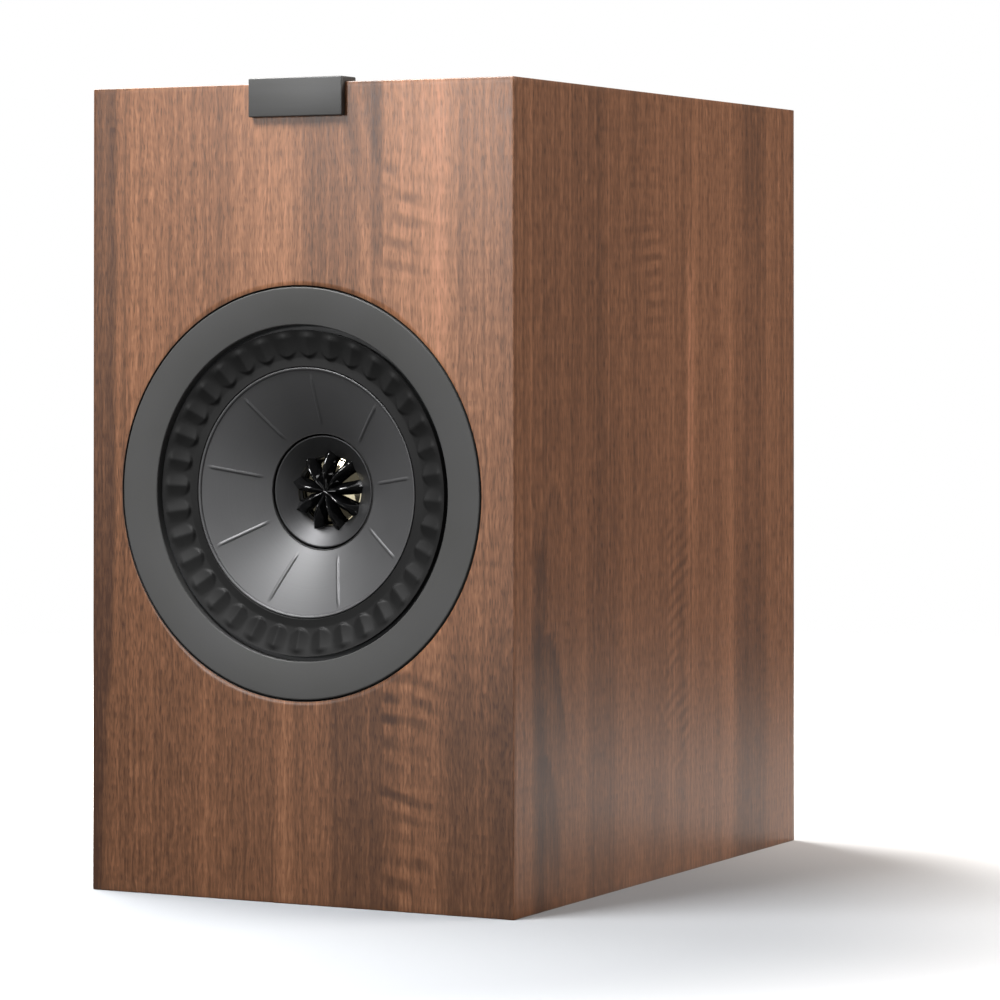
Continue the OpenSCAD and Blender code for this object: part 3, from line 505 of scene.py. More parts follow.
# Where each face corner lies on the veneer: across and along the grain in metres, one sheet on the front and
# one wrapped over the right side, the top and down the left side, with the figure stored beside it
def layVeneer(mesh):
    vertex = readAll(mesh.loops, "vertex_index", kind=int)[:, 0]
    sides = readAll(mesh.polygons, "loop_total", kind=int)[:, 0]
    place = readAll(mesh.vertices, "co", 3)
    normal = readAll(mesh.polygons, "normal", 3)
    middle = readAll(mesh.polygons, "center", 3)
    x, s, z = place[vertex, 0], place[vertex, 1] - frontY, place[vertex, 2]
    axis = np.abs(normal).argmax(axis=1)
    positive = np.repeat(normal[np.arange(len(normal)), axis] >= 0, sides)
    turned = np.repeat(axis, sides)
    right, left = (turned == 0) & positive, (turned == 0) & ~positive
    top, under = (turned == 2) & positive, (turned == 2) & ~positive
    across = np.where(turned == 1, x, halfWidth + s)
    along = np.select([right, left, top, under],
                      [z, 2 * cabinetHeight + 2 * halfWidth - z, cabinetHeight + halfWidth - x, x - halfWidth],
                      z)
    front = frontFigure(x / mm, z / mm)
    side = sideFigure(s / mm, np.where(right, z, along) / mm)
    other = sideFigure(cabinet["turned"][0] - s / mm, z / mm - cabinet["turned"][1])
    figure = np.select([turned[None] == 1, left[None]], [front, other], side)
    # painted shade on the top
    figure[0] -= np.where(top, cabinet["topPaintedShade"], 0)
    layer = mesh.uv_layers.new(name="veneer")
    layer.data.foreach_set("uv", np.column_stack([across, along]).ravel())
    # tone carries the figure together with painted shade: the front darker towards the bottom, the top darker
    # all over
    for name, values in zip(("tone", "ripplePhase", "rippleDepth"), figure):
        mesh.attributes.new(name, "FLOAT", "CORNER").data.foreach_set("value", values)
    cut = ringRadius + cabinet["ringGap"] + cabinet["rebateRound"]
    bare = np.hypot(middle[:, 0], middle[:, 2] - driverZ) < cut
    inside = cabinet["bareInside"]
    bare |= (np.abs(middle[:, 0]) < halfWidth - inside) & (middle[:, 1] > frontY + cabinet["bareBehind"]) & (
        np.abs(middle[:, 2] - driverZ) < cabinetHeight / 2 - inside)
    mesh.polygons.foreach_set("material_index", bare.astype(int))


# Walnut veneer, sliced and oiled to a low sheen: bands of tone, fine wandering grain, short dark pores, cross
# figure that shimmers, and a soft highlight that the grain breaks up
def walnutVeneer():
    facts = dict(
        tones=[(0.0, "#412B20"), (0.27, "#583B29"), (0.5, "#714C35"), (0.7, "#885E43"), (1.0, "#A97458")],
        toneSpan=(-0.95, 0.85),
        wander=(110, 40), wanderBy=0.0032,      # drift of the grain: waves a metre each way, and metres moved
        line=(1.7, 700), lineDepth=0.24,        # millimetres across and along the grain
        grain=(0.8, 7), grainDepth=0.30,
        fleck=(2.2, 5.0), fleckDepth=0.10,
        pore=(0.40, 3.4), poreDepth=0.32, poreSpan=(0.56, 0.70),
        rippleSpan=(-0.2, 1.7), rippleTones=(0.35, -0.85),
        roughness=(0.29, 0.36), specular=0.42,
    )
    material, tree = newMaterial("oiled walnut veneer")
    sheet = addNode(tree, "UVMap", uv_map="veneer")
    wander = addNode(tree, "Mapping", {"Vector": sheet.outputs[0], "Scale": (*facts["wander"], 0)})
    drift = addNode(tree, "TexNoise", {"Vector": wander.outputs[0], "Scale": 1, "Detail": 1})
    shift = addNode(tree, "VectorMath", {0: drift.outputs["Color"], 1: (facts["wanderBy"], 0, 0)},
                    operation="MULTIPLY")
    bent = addNode(tree, "VectorMath", {0: sheet.outputs[0], 1: shift.outputs[0]}, operation="ADD")
    patterns = {}
    for name, detail in (("line", 1), ("grain", 2.5), ("fleck", 1.5), ("pore", 0)):
        across, along = facts[name]
        fine = addNode(tree, "Mapping", {"Vector": bent.outputs[0], "Scale": (1000 / across, 1000 / along, 0)})
        patterns[name] = addNode(tree, "TexNoise", {"Vector": fine.outputs[0], "Scale": 1,
                                                    "Detail": detail}).outputs[0]
    total = addNode(tree, "Attribute", attribute_name="tone").outputs["Fac"]
    for name in ("line", "grain", "fleck"):
        depth = facts[name + "Depth"]
        total = worked(tree, "ADD", total, mapped(tree, patterns[name], (0.25, 0.75), (-depth, depth)))
    pores = mapped(tree, patterns["pore"], facts["poreSpan"], kind="SMOOTHSTEP")
    total = worked(tree, "MULTIPLY_ADD", pores, -facts["poreDepth"], total)
    phase = addNode(tree, "Attribute", attribute_name="ripplePhase").outputs["Fac"]
    depth = addNode(tree, "Attribute", attribute_name="rippleDepth").outputs["Fac"]
    wave = worked(tree, "SINE", worked(tree, "MULTIPLY", phase, 2 * math.pi))
    broken = worked(tree, "MULTIPLY_ADD", patterns["fleck"], 1.2, wave)
    crest = mapped(tree, broken, facts["rippleSpan"], facts["rippleTones"], "SMOOTHSTEP")
    tone = mapped(tree, worked(tree, "MULTIPLY_ADD", crest, depth, total), facts["toneSpan"])
    finishMaterial(tree, addNode(tree, "BsdfPrincipled", {
        "Base Color": colourRamp(tree, tone, facts["tones"]),
        "Roughness": mapped(tree, patterns["grain"], (0.3, 0.7), facts["roughness"]),
        "Normal": bumped(tree, tone, 0.25, 0.12), "Specular IOR Level": facts["specular"]}))
    return material


# Cut fibreboard, as the rebate and the inner faces are: dull, with a fine fibrous speckle
def bareBoard(name, colour, dark):
    material, tree = newMaterial(name)
    place = addNode(tree, "TexCoord").outputs["Object"]
    fibres = addNode(tree, "TexNoise", {"Vector": place, "Scale": 1400, "Detail": 3}).outputs[0]
    finishMaterial(tree, addNode(tree, "BsdfPrincipled", {
        "Base Color": colourRamp(tree, fibres, [(0.35, dark), (0.65, colour)]), "Roughness": 0.85,
        "Normal": bumped(tree, fibres, 0.3, 0.1)}))
    return material


shell = cabinetShell()
layVeneer(shell.data)
keep(shell, "cabinet", "walnut_veneer", walnutVeneer(), "front_baffle", "left_panel", "right_panel",
     "top_panel", "bottom_panel")
shell.data.materials.append(bareBoard("board sealed black", "#1A1918", "#121111"))
print("cabinet shell:", len(shell.data.polygons), "faces")


# Small pieces' finishes

# A moulded, painted, cast or cut finish: colour drifting between two tones and a surface texture of the
# given size in millimetres, both following the object's own coordinates
def surfaceFinish(name, colour, second, patch=6.0, texture=0.5, height=0.03, roughness=(0.4, 0.5),
                  metallic=0.0, stretch=(1, 1, 1), pattern="TexNoise", coat=0.0, specular=0.5, sheen=0.0):
    material, tree = newMaterial(name)
    place = addNode(tree, "TexCoord").outputs["Object"]
    slow = addNode(tree, "Mapping", {"Vector": place, "Scale": [1000 / patch / k for k in stretch]})
    fast = addNode(tree, "Mapping", {"Vector": place, "Scale": [1000 / texture / k for k in stretch]})
    drift = addNode(tree, "TexNoise", {"Vector": slow.outputs[0], "Scale": 1, "Detail": 2}).outputs[0]
    grit = addNode(tree, pattern, {"Vector": fast.outputs[0], "Scale": 1}).outputs[0]
    both = worked(tree, "MULTIPLY_ADD", grit, 0.35, drift)
    finishMaterial(tree, addNode(tree, "BsdfPrincipled", {
        "Base Color": colourRamp(tree, both, [(0.45, second), (0.9, colour)]),
        "Roughness": mapped(tree, drift, (0.3, 0.7), roughness), "Metallic": metallic,
        "Normal": bumped(tree, grit, 0.5, height), "Coat Weight": coat, "Coat Roughness": 0.08,
        "Specular IOR Level": specular, "Sheen Weight": sheen}))
    return material


# Metal turned or formed on the driver's axis: faint rings from the tool, of the given width and height in
# millimetres, and blurred streaks in the gloss
def turnedMetal(name, colour, second, ring, height, roughness, metallic=1.0):
    material, tree = newMaterial(name)
    place = addNode(tree, "TexCoord").outputs["Object"]
    centred = addNode(tree, "Mapping", {"Vector": place, "Location": (0, 0, -driverZ)})
    flat = addNode(tree, "VectorMath", {0: centred.outputs[0], 1: (1000, 0, 1000)}, operation="MULTIPLY")
    radius = addNode(tree, "VectorMath", {0: flat.outputs[0]}, operation="LENGTH").outputs["Value"]
    rings = addNode(tree, "TexNoise", {"W": worked(tree, "MULTIPLY", radius, 1 / ring), "Scale": 1,
                                       "Detail": 2}, noise_dimensions="1D").outputs[0]
    cloud = addNode(tree, "TexNoise", {"Vector": place, "Scale": 90, "Detail": 2}).outputs[0]
    both = worked(tree, "ADD", rings, cloud)
    finishMaterial(tree, addNode(tree, "BsdfPrincipled", {
        "Base Color": colourRamp(tree, mapped(tree, both, (0.6, 1.4)), [(0, second), (1, colour)]),
        "Metallic": metallic, "Roughness": mapped(tree, both, (0.6, 1.4), roughness),
        "Normal": bumped(tree, rings, 0.4, height)}))
    return material


# The blank badge, the trim ring and the surround

badge = dict(edge=0.45 * mm, segments=3, wall=2 * mm)


# An L-shaped strip hooked over the baffle's top edge: its section carried across, every edge rounded
def badgePiece():
    low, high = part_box("badge")
    t = badge["wall"]
    section = [(low[1], low[2]), (frontY, low[2]), (frontY, high[2] - t), (high[1], high[2] - t),
               (high[1], high[2]), (low[1], high[2])]
    points = np.array([(x, y, z) for x in (low[0], high[0]) for y, z in section])
    faces = [list(range(6)), list(range(11, 5, -1))]
    faces += [[i, (i + 1) % 6, (i + 1) % 6 + 6, i + 6] for i in range(6)]
    piece = meshPiece("badge_tab", points, faces, 60)
    work = bmesh.new()
    work.from_mesh(piece.data)
    bmesh.ops.bevel(work, geom=work.edges[:], offset=badge["edge"], segments=badge["segments"], profile=0.5,
                    affect="EDGES")
    work.to_mesh(piece.data)
    work.free()
    piece.data.shade_smooth()
    piece.data.set_sharp_from_angle(angle=math.radians(40))
    return piece


# Satin lacquer over metal: dark grey with a very fine sparkle, a broad soft highlight
ringFinish = surfaceFinish("satin grey lacquer", "#414141", "#3D3D3C", patch=30, texture=0.45, height=0.02,
                           roughness=(0.46, 0.5), specular=0.3)
keep(badgePiece(), "cabinet", "trim_plastic",
     surfaceFinish("brushed grey badge", "#404040", "#3A3A39", patch=8, texture=0.25, height=0.01,
                   roughness=(0.4, 0.46), specular=0.35, stretch=(30, 1, 1)), "badge")

# Millimetres: the width of the ring, its edges' radii, its face's depths behind the baffle and its hollow's
trimRing = dict(wide=14, outerRound=0.6, innerRound=0.55, faceIn=1.208, faceOut=-0.308, skirt=1.5,
                hollowOut=1.5, hollowIn=2.7)


# The trim ring's section: a shallow cone of a face between rounded edges, hollow behind
def trimRingPiece():
    facts = trimRing
    outside = ringRadius / mm
    inside = outside - facts["wide"]
    back = (ringHigh[1] - frontY) / mm
    skirt = facts["skirt"]
    return turnedPiece("trim_ring_face", filleted([
        (inside, back, 0.1), (inside, facts["faceIn"], facts["innerRound"]),
        (outside, facts["faceOut"], facts["outerRound"]), (outside, back, 0.1), (outside - skirt, back, 0.1),
        (outside - skirt, facts["hollowOut"], 0.2), (inside + skirt, facts["hollowIn"], 0.2),
        (inside + skirt, back, 0.1)], steps=6), 320)


keep(trimRingPiece(), "cabinet", "trim_plastic", ringFinish, "trim_ring")

surround = dict(
    inner=46.0, lip=46.9, smoothTo=50.0, outer=60.4,   # radii in millimetres
    lipDepth=5.15, smoothDepth=4.85, outerDepth=2.0,   # depths behind the baffle
    tuck=0.9, bow=0.7, wall=0.75,
    ribs=36, ribAt=8.0, ribHigh=1.05, ribWide=4.2,     # a rib every ten degrees
    crest=(1.05, 0.0012, 1.25),                        # height, rounding and power of its section
    nub=(0.3, 0.16),                                   # its inner end: beyond the smooth part, and roundness
    bends=(1.9, 5.3),                                  # the depths between which it flexes
    bead=[(58.9, 4.78, 0.1), (58.9, 3.3, 0.2), (60.3, 3.0, 0.2), (60.3, 4.78, 0.1)],   # radius, depth, fillet
)

# Moulded butyl rubber: near black, dull, with a soft grazing sheen
rubberFinish = surfaceFinish("moulded butyl rubber", "#1B1B1B", "#171717", patch=12, texture=0.35, height=0.02,
                             roughness=(0.5, 0.56), specular=0.16)


# Depth of the roll: a slope from the lip to the outer edge plus half a sine wave, with radial ribs standing on
# it. A rib's height falls off beside its rounded crest as a power of the distance, and its inner end is a
# round nub
def rollDepth(radius, angle):
    facts = surround
    base = np.interp(radius, [facts["inner"], facts["lip"], facts["smoothTo"], facts["outer"]],
                     [facts["lipDepth"] + facts["tuck"], facts["lipDepth"], facts["smoothDepth"],
                      facts["outerDepth"]])
    part = np.clip((radius - facts["lip"]) / (facts["outer"] - facts["lip"]), 0, 1)
    base = base + facts["bow"] * np.sin(math.pi * part)
    step = 2 * math.pi / facts["ribs"]
    off = ((angle - math.radians(facts["ribAt"]) + step / 2) % step - step / 2) * radius
    high, rounding, power = facts["crest"]
    rise = np.clip(high - np.sqrt((off / facts["ribWide"]) ** 2 + rounding), 0, 1) ** power
    end = facts["smoothTo"] + facts["nub"][0] + facts["nub"][1] * off ** 2
    length = smooth(end - 0.5, end + 0.6, radius) * (
        1 - smooth(facts["outer"] - 3, facts["outer"] - 0.3, radius))
    return base - facts["ribHigh"] * rise * length


# The roll's front face, its outer edge turned back, and the same face again a wall's thickness behind
def surroundRoll():
    facts = surround
    radius = np.concatenate([[facts["inner"]], np.linspace(facts["lip"] - 0.3, facts["outer"] - 0.3, 46),
                             [facts["outer"] - 0.08, facts["outer"]]])
    angle = np.arange(facts["ribs"] * 20) * 2 * math.pi / (facts["ribs"] * 20) + math.radians(facts["ribAt"])
    front = rollDepth(radius[:, None], angle[None, :])
    front[-1] += 0.25
    back = front[::-1] + facts["wall"]
    radii = np.concatenate([radius, radius[::-1]])[:, None]
    return gridPiece("surround_roll", aroundDriver(radii * mm, np.vstack([front, back]) * mm, angle[None, :]),
                     closeRows=True, sharp=48)


roll = surroundRoll()
keep(roll, None, "surround_rubber", rubberFinish, "surround")
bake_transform(roll)
keep(turnedPiece("surround_bead", filleted(surround["bead"])), "cabinet", "surround_rubber", rubberFinish,
     "surround")
print("badge, trim ring and surround made")


# The cone

cone = dict(
    rim=46.4, neck=21.55, rimDepth=5.3, neckDepth=17.9, bow=0.5,   # millimetres; bow is the curve's share
    lip=0.42, lipWide=0.55,                                       # the rolled edge
    ribs=9, ribAt=8.0, ribWide=0.7, ribHigh=0.34, ribFrom=25.0, ribTo=44.2,
    wall=0.45, backIn=1.2,                                        # the back face follows the front this far in
    ribSpan=2.3,                                                  # degrees each side of a rib with more points
)


# Depth of the cone: a shallow curve from rim to neck, a rolled lip at the rim, and straight radial ribs
def coneDepth(radius, angle):
    facts = cone
    part = (facts["rim"] - radius) / (facts["rim"] - facts["neck"])
    depth = (facts["rimDepth"] + (facts["neckDepth"] - facts["rimDepth"]) * part
             - 4 * facts["bow"] * part * (1 - part))
    roll = np.clip((radius - facts["rim"] + facts["lipWide"]) / facts["lipWide"], -1, 1)
    depth = depth - facts["lip"] * np.sqrt(1 - roll ** 2)
    step = 2 * math.pi / facts["ribs"]
    off = (angle - math.radians(facts["ribAt"]) + step / 2) % step - step / 2
    rise = np.clip(1 - np.abs(off * radius) / facts["ribWide"], 0, 1)
    length = smooth(facts["ribFrom"] - 0.4, facts["ribFrom"] + 2.2, radius) * (
        1 - smooth(facts["ribTo"] - 2.6, facts["ribTo"], radius))
    return depth - facts["ribHigh"] * rise * (2 - rise) * length


# The cone's front and back faces, with more points across each rib than between ribs
def conePiece():
    facts = cone
    rim, lip = facts["rim"], facts["lipWide"]
    lipTurn = np.linspace(-1.3, 1.45, 10)
    radius = np.concatenate([np.linspace(facts["neck"], rim - 2 * lip, 44), rim - lip + lip * np.sin(lipTurn)])
    half = math.pi / facts["ribs"]
    near = math.radians(facts["ribSpan"])
    spread = np.concatenate([np.linspace(-half, -near, 12)[:-1], np.linspace(-near, near, 21)[:-1],
                             np.linspace(near, half, 12)[:-1]])
    angle = (math.radians(facts["ribAt"]) + np.arange(facts["ribs"])[:, None] * 2 * half + spread).ravel()
    front = coneDepth(radius[:, None], angle[None, :])
    # the back is plain and skips the lip, so that the wall keeps its thickness
    plain = coneDepth(np.minimum(radius, rim - facts["backIn"])[::-1, None],
                      math.radians(facts["ribAt"]) + half)
    back = plain + facts["wall"] + np.zeros(len(angle))
    edge = len(lipTurn) + 2
    back[:edge] = front[::-1][:edge].max(axis=1, keepdims=True) + facts["wall"]
    radii = np.concatenate([radius, radius[::-1]])[:, None]
    return gridPiece("cone_face", aroundDriver(radii * mm, np.vstack([front, back]) * mm, angle[None, :]),
                     closeRows=True, sharp=40)


# Drawn alloy with a satin grey coat: broad soft reflections, brighter towards the light
coneFinish = turnedMetal("satin grey metal", "#565657", "#525253", ring=0.5, height=0.002,
                         roughness=(0.5, 0.54), metallic=0.65)
keep(conePiece(), "cone", "cone_metal", coneFinish, "bass_cone")
print("cone made")


# The tweeter: horn, fins and dome

horn = dict(
    mouth=20.9, throat=13.6, mouthDepth=17.9, throatDepth=23.2,
    lip=0.22, lipWide=1.9, lipDeep=0.62, lipTurn=0.62,   # the rounded edge: radius, stretch, half turns
    back=[(13.6, 23.7), (15.4, 24.0), (16.0, 25.5), (17.1, 25.5), (17.1, 25.9), (20.6, 25.9), (20.9, 25.4)],
)


# Depth of the flare: nearly straight from mouth to throat, a little steeper inwards
def hornDepth(radius):
    part = (horn["mouth"] - radius) / (horn["mouth"] - horn["throat"])
    return horn["mouthDepth"] + (horn["throatDepth"] - horn["mouthDepth"]) * (0.85 * part + 0.15 * part ** 2)


# The horn's section: a rounded lip, the flare down to the throat, and the seat behind
def hornPiece():
    radius = np.linspace(horn["mouth"] - 2 * horn["lip"], horn["throat"], 26)
    flare = np.column_stack([radius, hornDepth(radius)])
    turn = np.linspace(0.15, 1, 7)[::-1] * math.pi * horn["lipTurn"]
    lip = flare[0] + horn["lip"] * np.column_stack([np.sin(turn) * horn["lipWide"],
                                                    (1 - np.cos(turn)) * horn["lipDeep"]])
    lip[:, 0] = np.minimum(lip[:, 0], horn["mouth"])
    return turnedPiece("tweeter_horn_flare", np.vstack([lip, flare, horn["back"]]), 192, sharp=40)


fins = dict(
    count=9, at=88.0, root=15.4,
    crest=[(0, 19.6), (1.5, 19.35), (4, 18.3), (6, 17.9), (8, 17.85), (10, 18.45), (12, 19.65), (13.9, 21.2)],
    footTo=11, footDepth=23.2, gap=0.7, ridge=0.12,
    half=[(0, 0.45), (1, 0.6), (6.6, 2.25), (9, 2.45), (12.8, 2.65), (14, 2.2), (15.4, 0.7)],
)


# A sphere's centre depth and squared radius, then the radii of the dome and of its rim
dome = dict(centre=43.66, squared=504.4, edge=12.5, rim=12.9, wall=0.12)


# Depth of the dome: part of a sphere
def domeDepth(radius):
    return dome["centre"] - np.sqrt(dome["squared"] - radius ** 2)


# Nine fins from a hub out to the horn: the crest is a smooth curve through its points, and each section is a
# ridge that widens towards its foot and outwards
def finPiece():
    facts = fins
    points = np.array(facts["crest"])
    curve = np.polyfit(points[:, 0], points[:, 1], 5)
    last, lastDepth = facts["crest"][-1]
    radius = np.concatenate([[0.05], np.linspace(0.3, last, 40), [14.4, 14.9, facts["root"]]])
    beyond = lastDepth + (radius - last) * (hornDepth(facts["root"]) - lastDepth) / (facts["root"] - last)
    crest = np.where(radius < last, np.polyval(curve, radius), beyond)
    foot = facts["footTo"]
    under = np.where(radius < foot, domeDepth(np.minimum(radius, foot)) - facts["gap"], facts["footDepth"])
    under = np.maximum(under, crest + 0.3)
    half = np.interp(radius, *np.array(facts["half"]).T)
    across = np.linspace(-1, 1, 21)[None, :]
    sharp = facts["ridge"]
    ridge = (np.sqrt(across ** 2 + sharp ** 2) - sharp) / (math.hypot(1, sharp) - sharp)
    front = crest[:, None] + (under - crest)[:, None] * (0.75 * ridge + 0.25 * ridge ** 2.4)
    depth = np.hstack([front, under[:, None] + 0 * across[:, 1:-1]])
    side = half[:, None] * np.hstack([across, across[:, -2:0:-1]])
    depth = np.vstack([depth[:1] * 0 + depth[:1].mean(), depth, depth[-1:] * 0 + depth[-1:].mean()])
    side = np.vstack([side[:1] * 0, side, side[-1:] * 0])
    out = np.concatenate([radius[:1], radius, radius[-1:]])[:, None] + 0 * side
    rows, columns = depth.shape
    turn = math.radians(facts["at"]) + np.arange(facts["count"])[:, None, None] * 2 * math.pi / facts["count"]
    x = out * np.cos(turn) - side * np.sin(turn)
    z = out * np.sin(turn) + side * np.cos(turn)
    places = np.stack([x * mm, frontY + depth * mm + 0 * x, driverZ + z * mm], axis=-1).reshape(-1, 3)
    faces = gridFaces(rows, columns)[None] + (np.arange(facts["count"]) * rows * columns)[:, None, None]
    return meshPiece("phase_fins", places, faces.reshape(-1, 4).tolist(), 55)


# The dome with a flat rim round it, front and back
def domePiece():
    radius = np.linspace(0, dome["rim"], 40)
    depth = domeDepth(np.minimum(radius, dome["edge"]))
    front = np.column_stack([radius, depth])
    back = np.column_stack([radius[::-1], depth[::-1] + dome["wall"]])
    return turnedPiece("tweeter_dome_cap", np.vstack([front, back]), 160, sharp=60)


# Satin coated alloy a little darker than the cone, smooth enough to mirror the fins as a blur
keep(hornPiece(), "cabinet", "horn_plastic",
     turnedMetal("satin horn", "#424243", "#3E3E3F", ring=0.6, height=0.0015, roughness=(0.46, 0.5),
                 metallic=0.8),
     "tweeter_horn")
# Gloss black moulding: sharp thin highlights along every crest
keep(finPiece(), "cabinet", "gloss_black",
     surfaceFinish("gloss black moulding", "#070708", "#050505", patch=5, texture=0.6, height=0.001,
                   roughness=(0.09, 0.12), specular=0.7), "phase_plug")
# Polished alloy with a pale gold cast, almost a mirror
keep(domePiece(), "tweeter_diaphragm", "dome_metal",
     turnedMetal("polished pale gold alloy", "#E6DCC0", "#D6CAA8", ring=1.2, height=0.0005,
                 roughness=(0.05, 0.07)),
     "tweeter_dome")
print("tweeter made")


# Finishes of the nodes that keep their own shape

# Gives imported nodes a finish
def paint(material, *names):
    for name in names:
        for slot in nodes[name].material_slots:
            slot.material = material


# Wound or braided wire: one thread beside the next along an axis, a pitch apart in millimetres
def windings(name, colour, second, pitch, alongAxis):
    material, tree = newMaterial(name)
    place = addNode(tree, "TexCoord").outputs["Object"]
    sized = addNode(tree, "Mapping", {"Vector": place, "Scale": (1000, 1000, 1000)})
    wave = addNode(tree, "TexWave", {"Vector": sized.outputs[0], "Scale": 2 * math.pi / 20 / pitch,
                                     "Distortion": 0.15}, bands_direction=alongAxis).outputs["Fac"]
    finishMaterial(tree, addNode(tree, "BsdfPrincipled", {
        "Base Color": colourRamp(tree, wave, [(0.1, second), (0.6, colour)]), "Metallic": 1.0,
        "Roughness": 0.28, "Normal": bumped(tree, wave, 0.6, pitch / 3)}))
    return material


# Woven cotton stiffened with resin: crossing threads 0.6 mm apart over pressed rings
def spiderCloth():
    material, tree = newMaterial("resined cotton weave")
    place = addNode(tree, "TexCoord").outputs["Object"]
    scale = 1000 * 2 * math.pi / 20 / 0.6
    threads = [addNode(tree, "TexWave", {"Vector": place, "Scale": scale}, bands_direction=direction)
               for direction in ("X", "Z")]
    weave = worked(tree, "MAXIMUM", threads[0].outputs["Fac"], threads[1].outputs["Fac"])
    finishMaterial(tree, addNode(tree, "BsdfPrincipled", {
        "Base Color": colourRamp(tree, weave, [(0, "#8A6B32"), (1, "#C9A55C")]), "Roughness": 0.8,
        "Normal": bumped(tree, weave, 0.6, 0.15)}))
    return material


# Green solder mask over copper tracks: a cell pattern stands for the etched areas
def circuitBoard():
    material, tree = newMaterial("solder mask on laminate")
    place = addNode(tree, "TexCoord").outputs["Object"]
    tracks = addNode(tree, "TexVoronoi", {"Vector": place, "Scale": 95}, feature="DISTANCE_TO_EDGE")
    mask = colourRamp(tree, tracks.outputs["Distance"], [(0.06, "#0F2D1B"), (0.09, "#1E5A34")])
    finishMaterial(tree, addNode(tree, "BsdfPrincipled", {"Base Color": mask, "Roughness": 0.32,
                                                          "Normal": bumped(tree, mask, 0.4, 0.05)}))
    return material


# Painted fibreboard with a fine orange peel, as on the backs of such cabinets
paint(surfaceFinish("black textured paint", "#1E1E1F", "#171718", patch=25, texture=0.9, height=0.09,
                    roughness=(0.55, 0.66)), "rear_panel")
paint(bareBoard("bare fibreboard", "#8A6A4A", "#6E5238"), "window_brace")
# Moulded ABS with a spark-eroded texture: dark, even, softly shining
paint(surfaceFinish("moulded black ABS", "#1C1C1D", "#161617", patch=18, texture=0.4, height=0.03,
                    roughness=(0.34, 0.42)), "port_flare", "port_tube")
paint(surfaceFinish("textured black ABS", "#1A1A1B", "#131314", patch=14, texture=0.6, height=0.05,
                    roughness=(0.42, 0.52)), "terminal_plate")
# Coloured polycarbonate caps: clean gloss, slight depth in the colour
paint(surfaceFinish("red moulded cap", "#A3161A", "#8A1014", patch=4, texture=0.5, height=0.012,
                    roughness=(0.22, 0.30), coat=0.3), "positive_knob", "positive_base")
paint(surfaceFinish("black moulded cap", "#151516", "#0F0F10", patch=4, texture=0.5, height=0.012,
                    roughness=(0.24, 0.32), coat=0.3), "negative_knob", "negative_base")
# Turned brass with a thin gold flash: warm and bright, with faint tool marks
paint(surfaceFinish("gold flashed brass", "#E6BE6A", "#CFA04C", patch=3, texture=0.25, height=0.01,
                    roughness=(0.20, 0.30), metallic=1.0, stretch=(4, 1, 4)),
      "post_studs", "positive_insert", "negative_insert", "solder_tags", "driver_tags")
# Zinc plated steel: bluish grey, a little cloudy
paint(surfaceFinish("zinc plated steel", "#B9BDC2", "#9FA3A8", patch=5, texture=0.4, height=0.015,
                    roughness=(0.30, 0.42), metallic=1.0),
      "front_plate", "pole_yoke", "tweeter_pole_plate", "tweeter_yoke", "post_washers", "post_nuts",
      "crossover_screws")
# Blackened steel screws: dark, with worn bright edges where a driver has sat
paint(surfaceFinish("blackened steel", "#26262A", "#18181B", patch=1.5, texture=0.3, height=0.02,
                    roughness=(0.34, 0.48), metallic=0.9), "driver_screws", "terminal_screws")
# Powder coated pressed steel basket
paint(surfaceFinish("powder coated steel", "#232426", "#1B1C1E", patch=9, texture=0.7, height=0.07,
                    roughness=(0.45, 0.55)), "driver_chassis")
# Closed-cell foam gaskets and pads: black, matt, pitted
paint(surfaceFinish("closed cell foam", "#1B1B1C", "#111112", patch=4, texture=0.6, height=0.15,
                    roughness=(0.85, 0.95), pattern="TexVoronoi"),
      "driver_gasket", "motor_pad", "terminal_gasket")
# Open-cell damping foam: charcoal, coarse pores
paint(surfaceFinish("open cell damping foam", "#3A3B3D", "#242527", patch=9, texture=1.6, height=0.6,
                    roughness=(0.9, 1.0), pattern="TexVoronoi"), "foam_lining")
# Polyimide former blackened by its adhesive
paint(surfaceFinish("black former film", "#141312", "#0C0B0B", patch=3, texture=0.3, height=0.01,
                    roughness=(0.40, 0.5)), "coil_former")
paint(windings("wound copper, driver coil", "#C97B4A", "#6E3A1E", 0.35, "Y"),
      "bass_voice_coil", "tweeter_coil")
paint(windings("wound copper, inductors", "#BF6F3E", "#5F311A", 0.9, "Z"), "inductors")
paint(spiderCloth(), "spider")
# Sintered ferrite: charcoal grey with a fine crystalline grain and chipped dark specks
paint(surfaceFinish("sintered ferrite", "#3B3B3D", "#2A2A2C", patch=2.5, texture=0.5, height=0.05,
                    roughness=(0.5, 0.65), pattern="TexVoronoi"), "ferrite_magnet")
# Bright nickel over the small magnet
paint(surfaceFinish("nickel plate", "#C9C7C2", "#B2B0AB", patch=3, texture=0.4, height=0.005,
                    roughness=(0.14, 0.22), metallic=1.0), "tweeter_magnet")
paint(surfaceFinish("turned steel stem", "#A6A7A9", "#8C8D90", patch=2, texture=0.3, height=0.01,
                    roughness=(0.24, 0.34), metallic=1.0, stretch=(1, 6, 1)), "tweeter_stem")
# Phenolic board: brown, with a paper fibre fleck
paint(surfaceFinish("phenolic board", "#7A4A26", "#5E3519", patch=2, texture=0.4, height=0.02,
                    roughness=(0.35, 0.5), stretch=(3, 1, 1)), "driver_tag_strip", "tweeter_lead_block")
paint(surfaceFinish("rolled rubber edge", "#1D1D1D", "#151515", patch=2, texture=0.3, height=0.01,
                    roughness=(0.5, 0.6), sheen=0.1), "dome_surround")
paint(circuitBoard(), "crossover_board")
paint(surfaceFinish("natural nylon", "#DDD9CC", "#CFCABA", patch=4, texture=0.4, height=0.02,
                    roughness=(0.35, 0.45)), "crossover_standoffs")
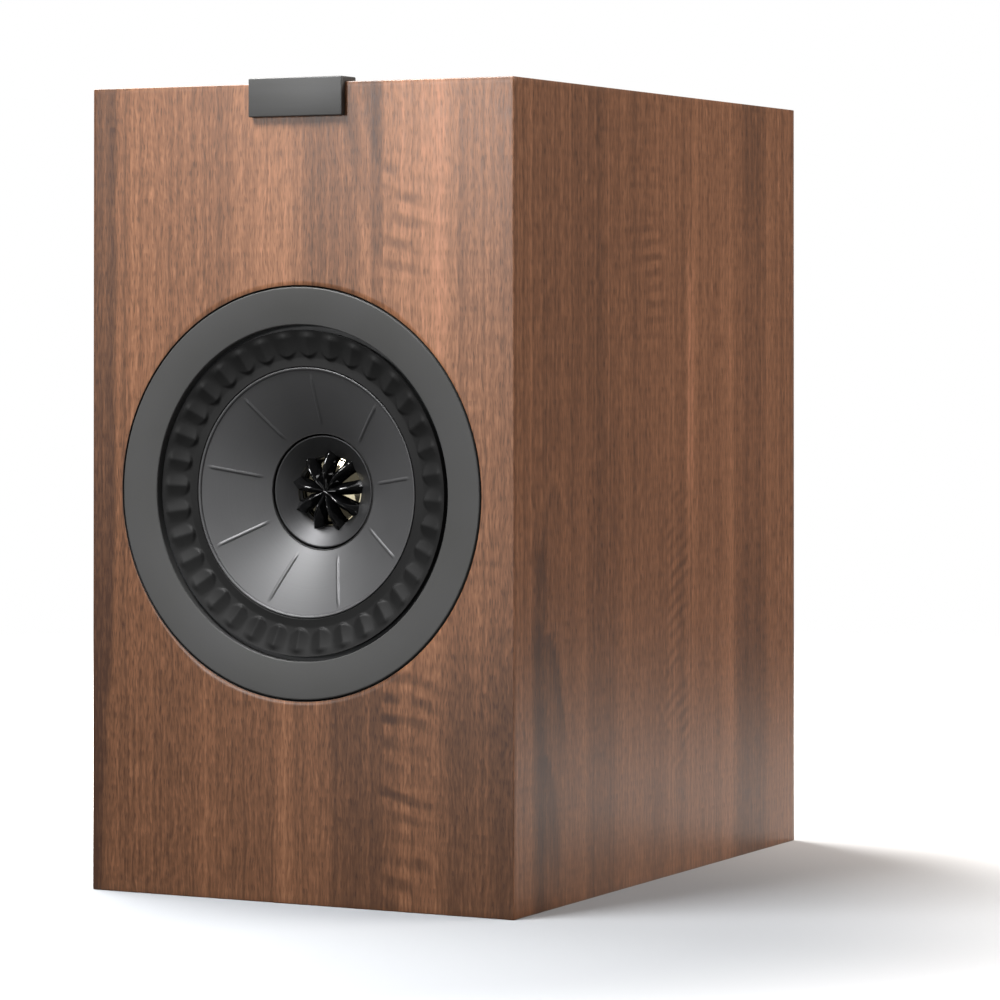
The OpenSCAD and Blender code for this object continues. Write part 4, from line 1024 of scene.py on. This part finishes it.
# Film capacitors in yellow tape, ends sealed with resin
paint(surfaceFinish("yellow polyester tape", "#C9972B", "#B5831D", patch=6, texture=0.8, height=0.03,
                    roughness=(0.28, 0.38), stretch=(6, 1, 1)), "capacitors")
paint(surfaceFinish("white cement", "#D9D6CD", "#C2BEB3", patch=3, texture=0.5, height=0.06,
                    roughness=(0.75, 0.9)), "resistors")
paint(surfaceFinish("grey wire insulation", "#3A3A3C", "#2D2D2F", patch=8, texture=0.5, height=0.01,
                    roughness=(0.32, 0.42)), "input_wires", "bass_wires", "tweeter_wires")
print("kept nodes finished")


# The braided leads from the back of the cone to its tags: slack bows

leads = dict(
    radius=0.5 * mm, sides=10, steps=8,
    bow=[(6.5, 34), (7.5, 39, 15.5), (8, 46, 21)],                 # from the cone: to the side, down and back
    tag=[(7.5, -7.6, 28.5), (6.5, -3.6, 33.5), (6.5, 0, 33.5)],    # to the tag, down from its face
    bends=[(39, 15.5), (52, 28.5)],                                # from and to where they flex, down and back
)


# A lead's middle line: the smooth curve that passes through the points, each a place to the side, down from
# the driver's axis and back from the front, and turns at each along the line between its neighbours
def leadLine(side):
    tagFace = (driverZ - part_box("driver_tag_strip")[0][2]) / mm
    start = (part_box("tinsel_leads")[0][1] - frontY) / mm + 0.4
    points = [(*leads["bow"][0], start), *leads["bow"][1:],
              *[(x, tagFace + down, y) for x, down, y in leads["tag"]]]
    points = np.array(points) * mm * (side, -1, 1) + (0, driverZ, frontY)
    points = points[:, [0, 2, 1]]
    ends = np.vstack([points[:1], points, points[-1:]])
    part = (np.arange(leads["steps"]) / leads["steps"])[:, None]
    line = [b + 0.5 * ((c - a) * part + (2 * a - 5 * b + 4 * c - d) * part ** 2
                       + (3 * b - a - 3 * c + d) * part ** 3)
            for a, b, c, d in zip(ends, ends[1:], ends[2:], ends[3:])]
    return np.vstack([*line, points[-1:]])


# A round section carried along the line, drawn to a point at each end
def leadPiece(name, side):
    line = leadLine(side)
    along = np.gradient(line, axis=0)
    along /= np.linalg.norm(along, axis=1)[:, None]
    across = np.array((1.0, 0, 0)) - along * along[:, :1]
    across /= np.linalg.norm(across, axis=1)[:, None]
    turn = np.arange(leads["sides"]) * 2 * math.pi / leads["sides"]
    cosine, sine = np.cos(turn)[None, :, None], np.sin(turn)[None, :, None]
    rings = line[:, None] + leads["radius"] * (
        cosine * across[:, None] + sine * np.cross(along, across)[:, None])
    ends = [np.repeat(point[None, None], leads["sides"], axis=1) for point in (line[0], line[-1])]
    return gridPiece(name, np.concatenate([ends[0], rings, ends[1]]), sharp=50)


leadFinish = windings("braided copper lead", "#CC8652", "#7A4524", 0.8, "Z")
for side, name in ((-1, "left_lead"), (1, "right_lead")):
    piece = leadPiece(name, side)
    keep(piece, None, "copper_braid", leadFinish, "tinsel_leads")
    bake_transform(piece)
print("leads made")
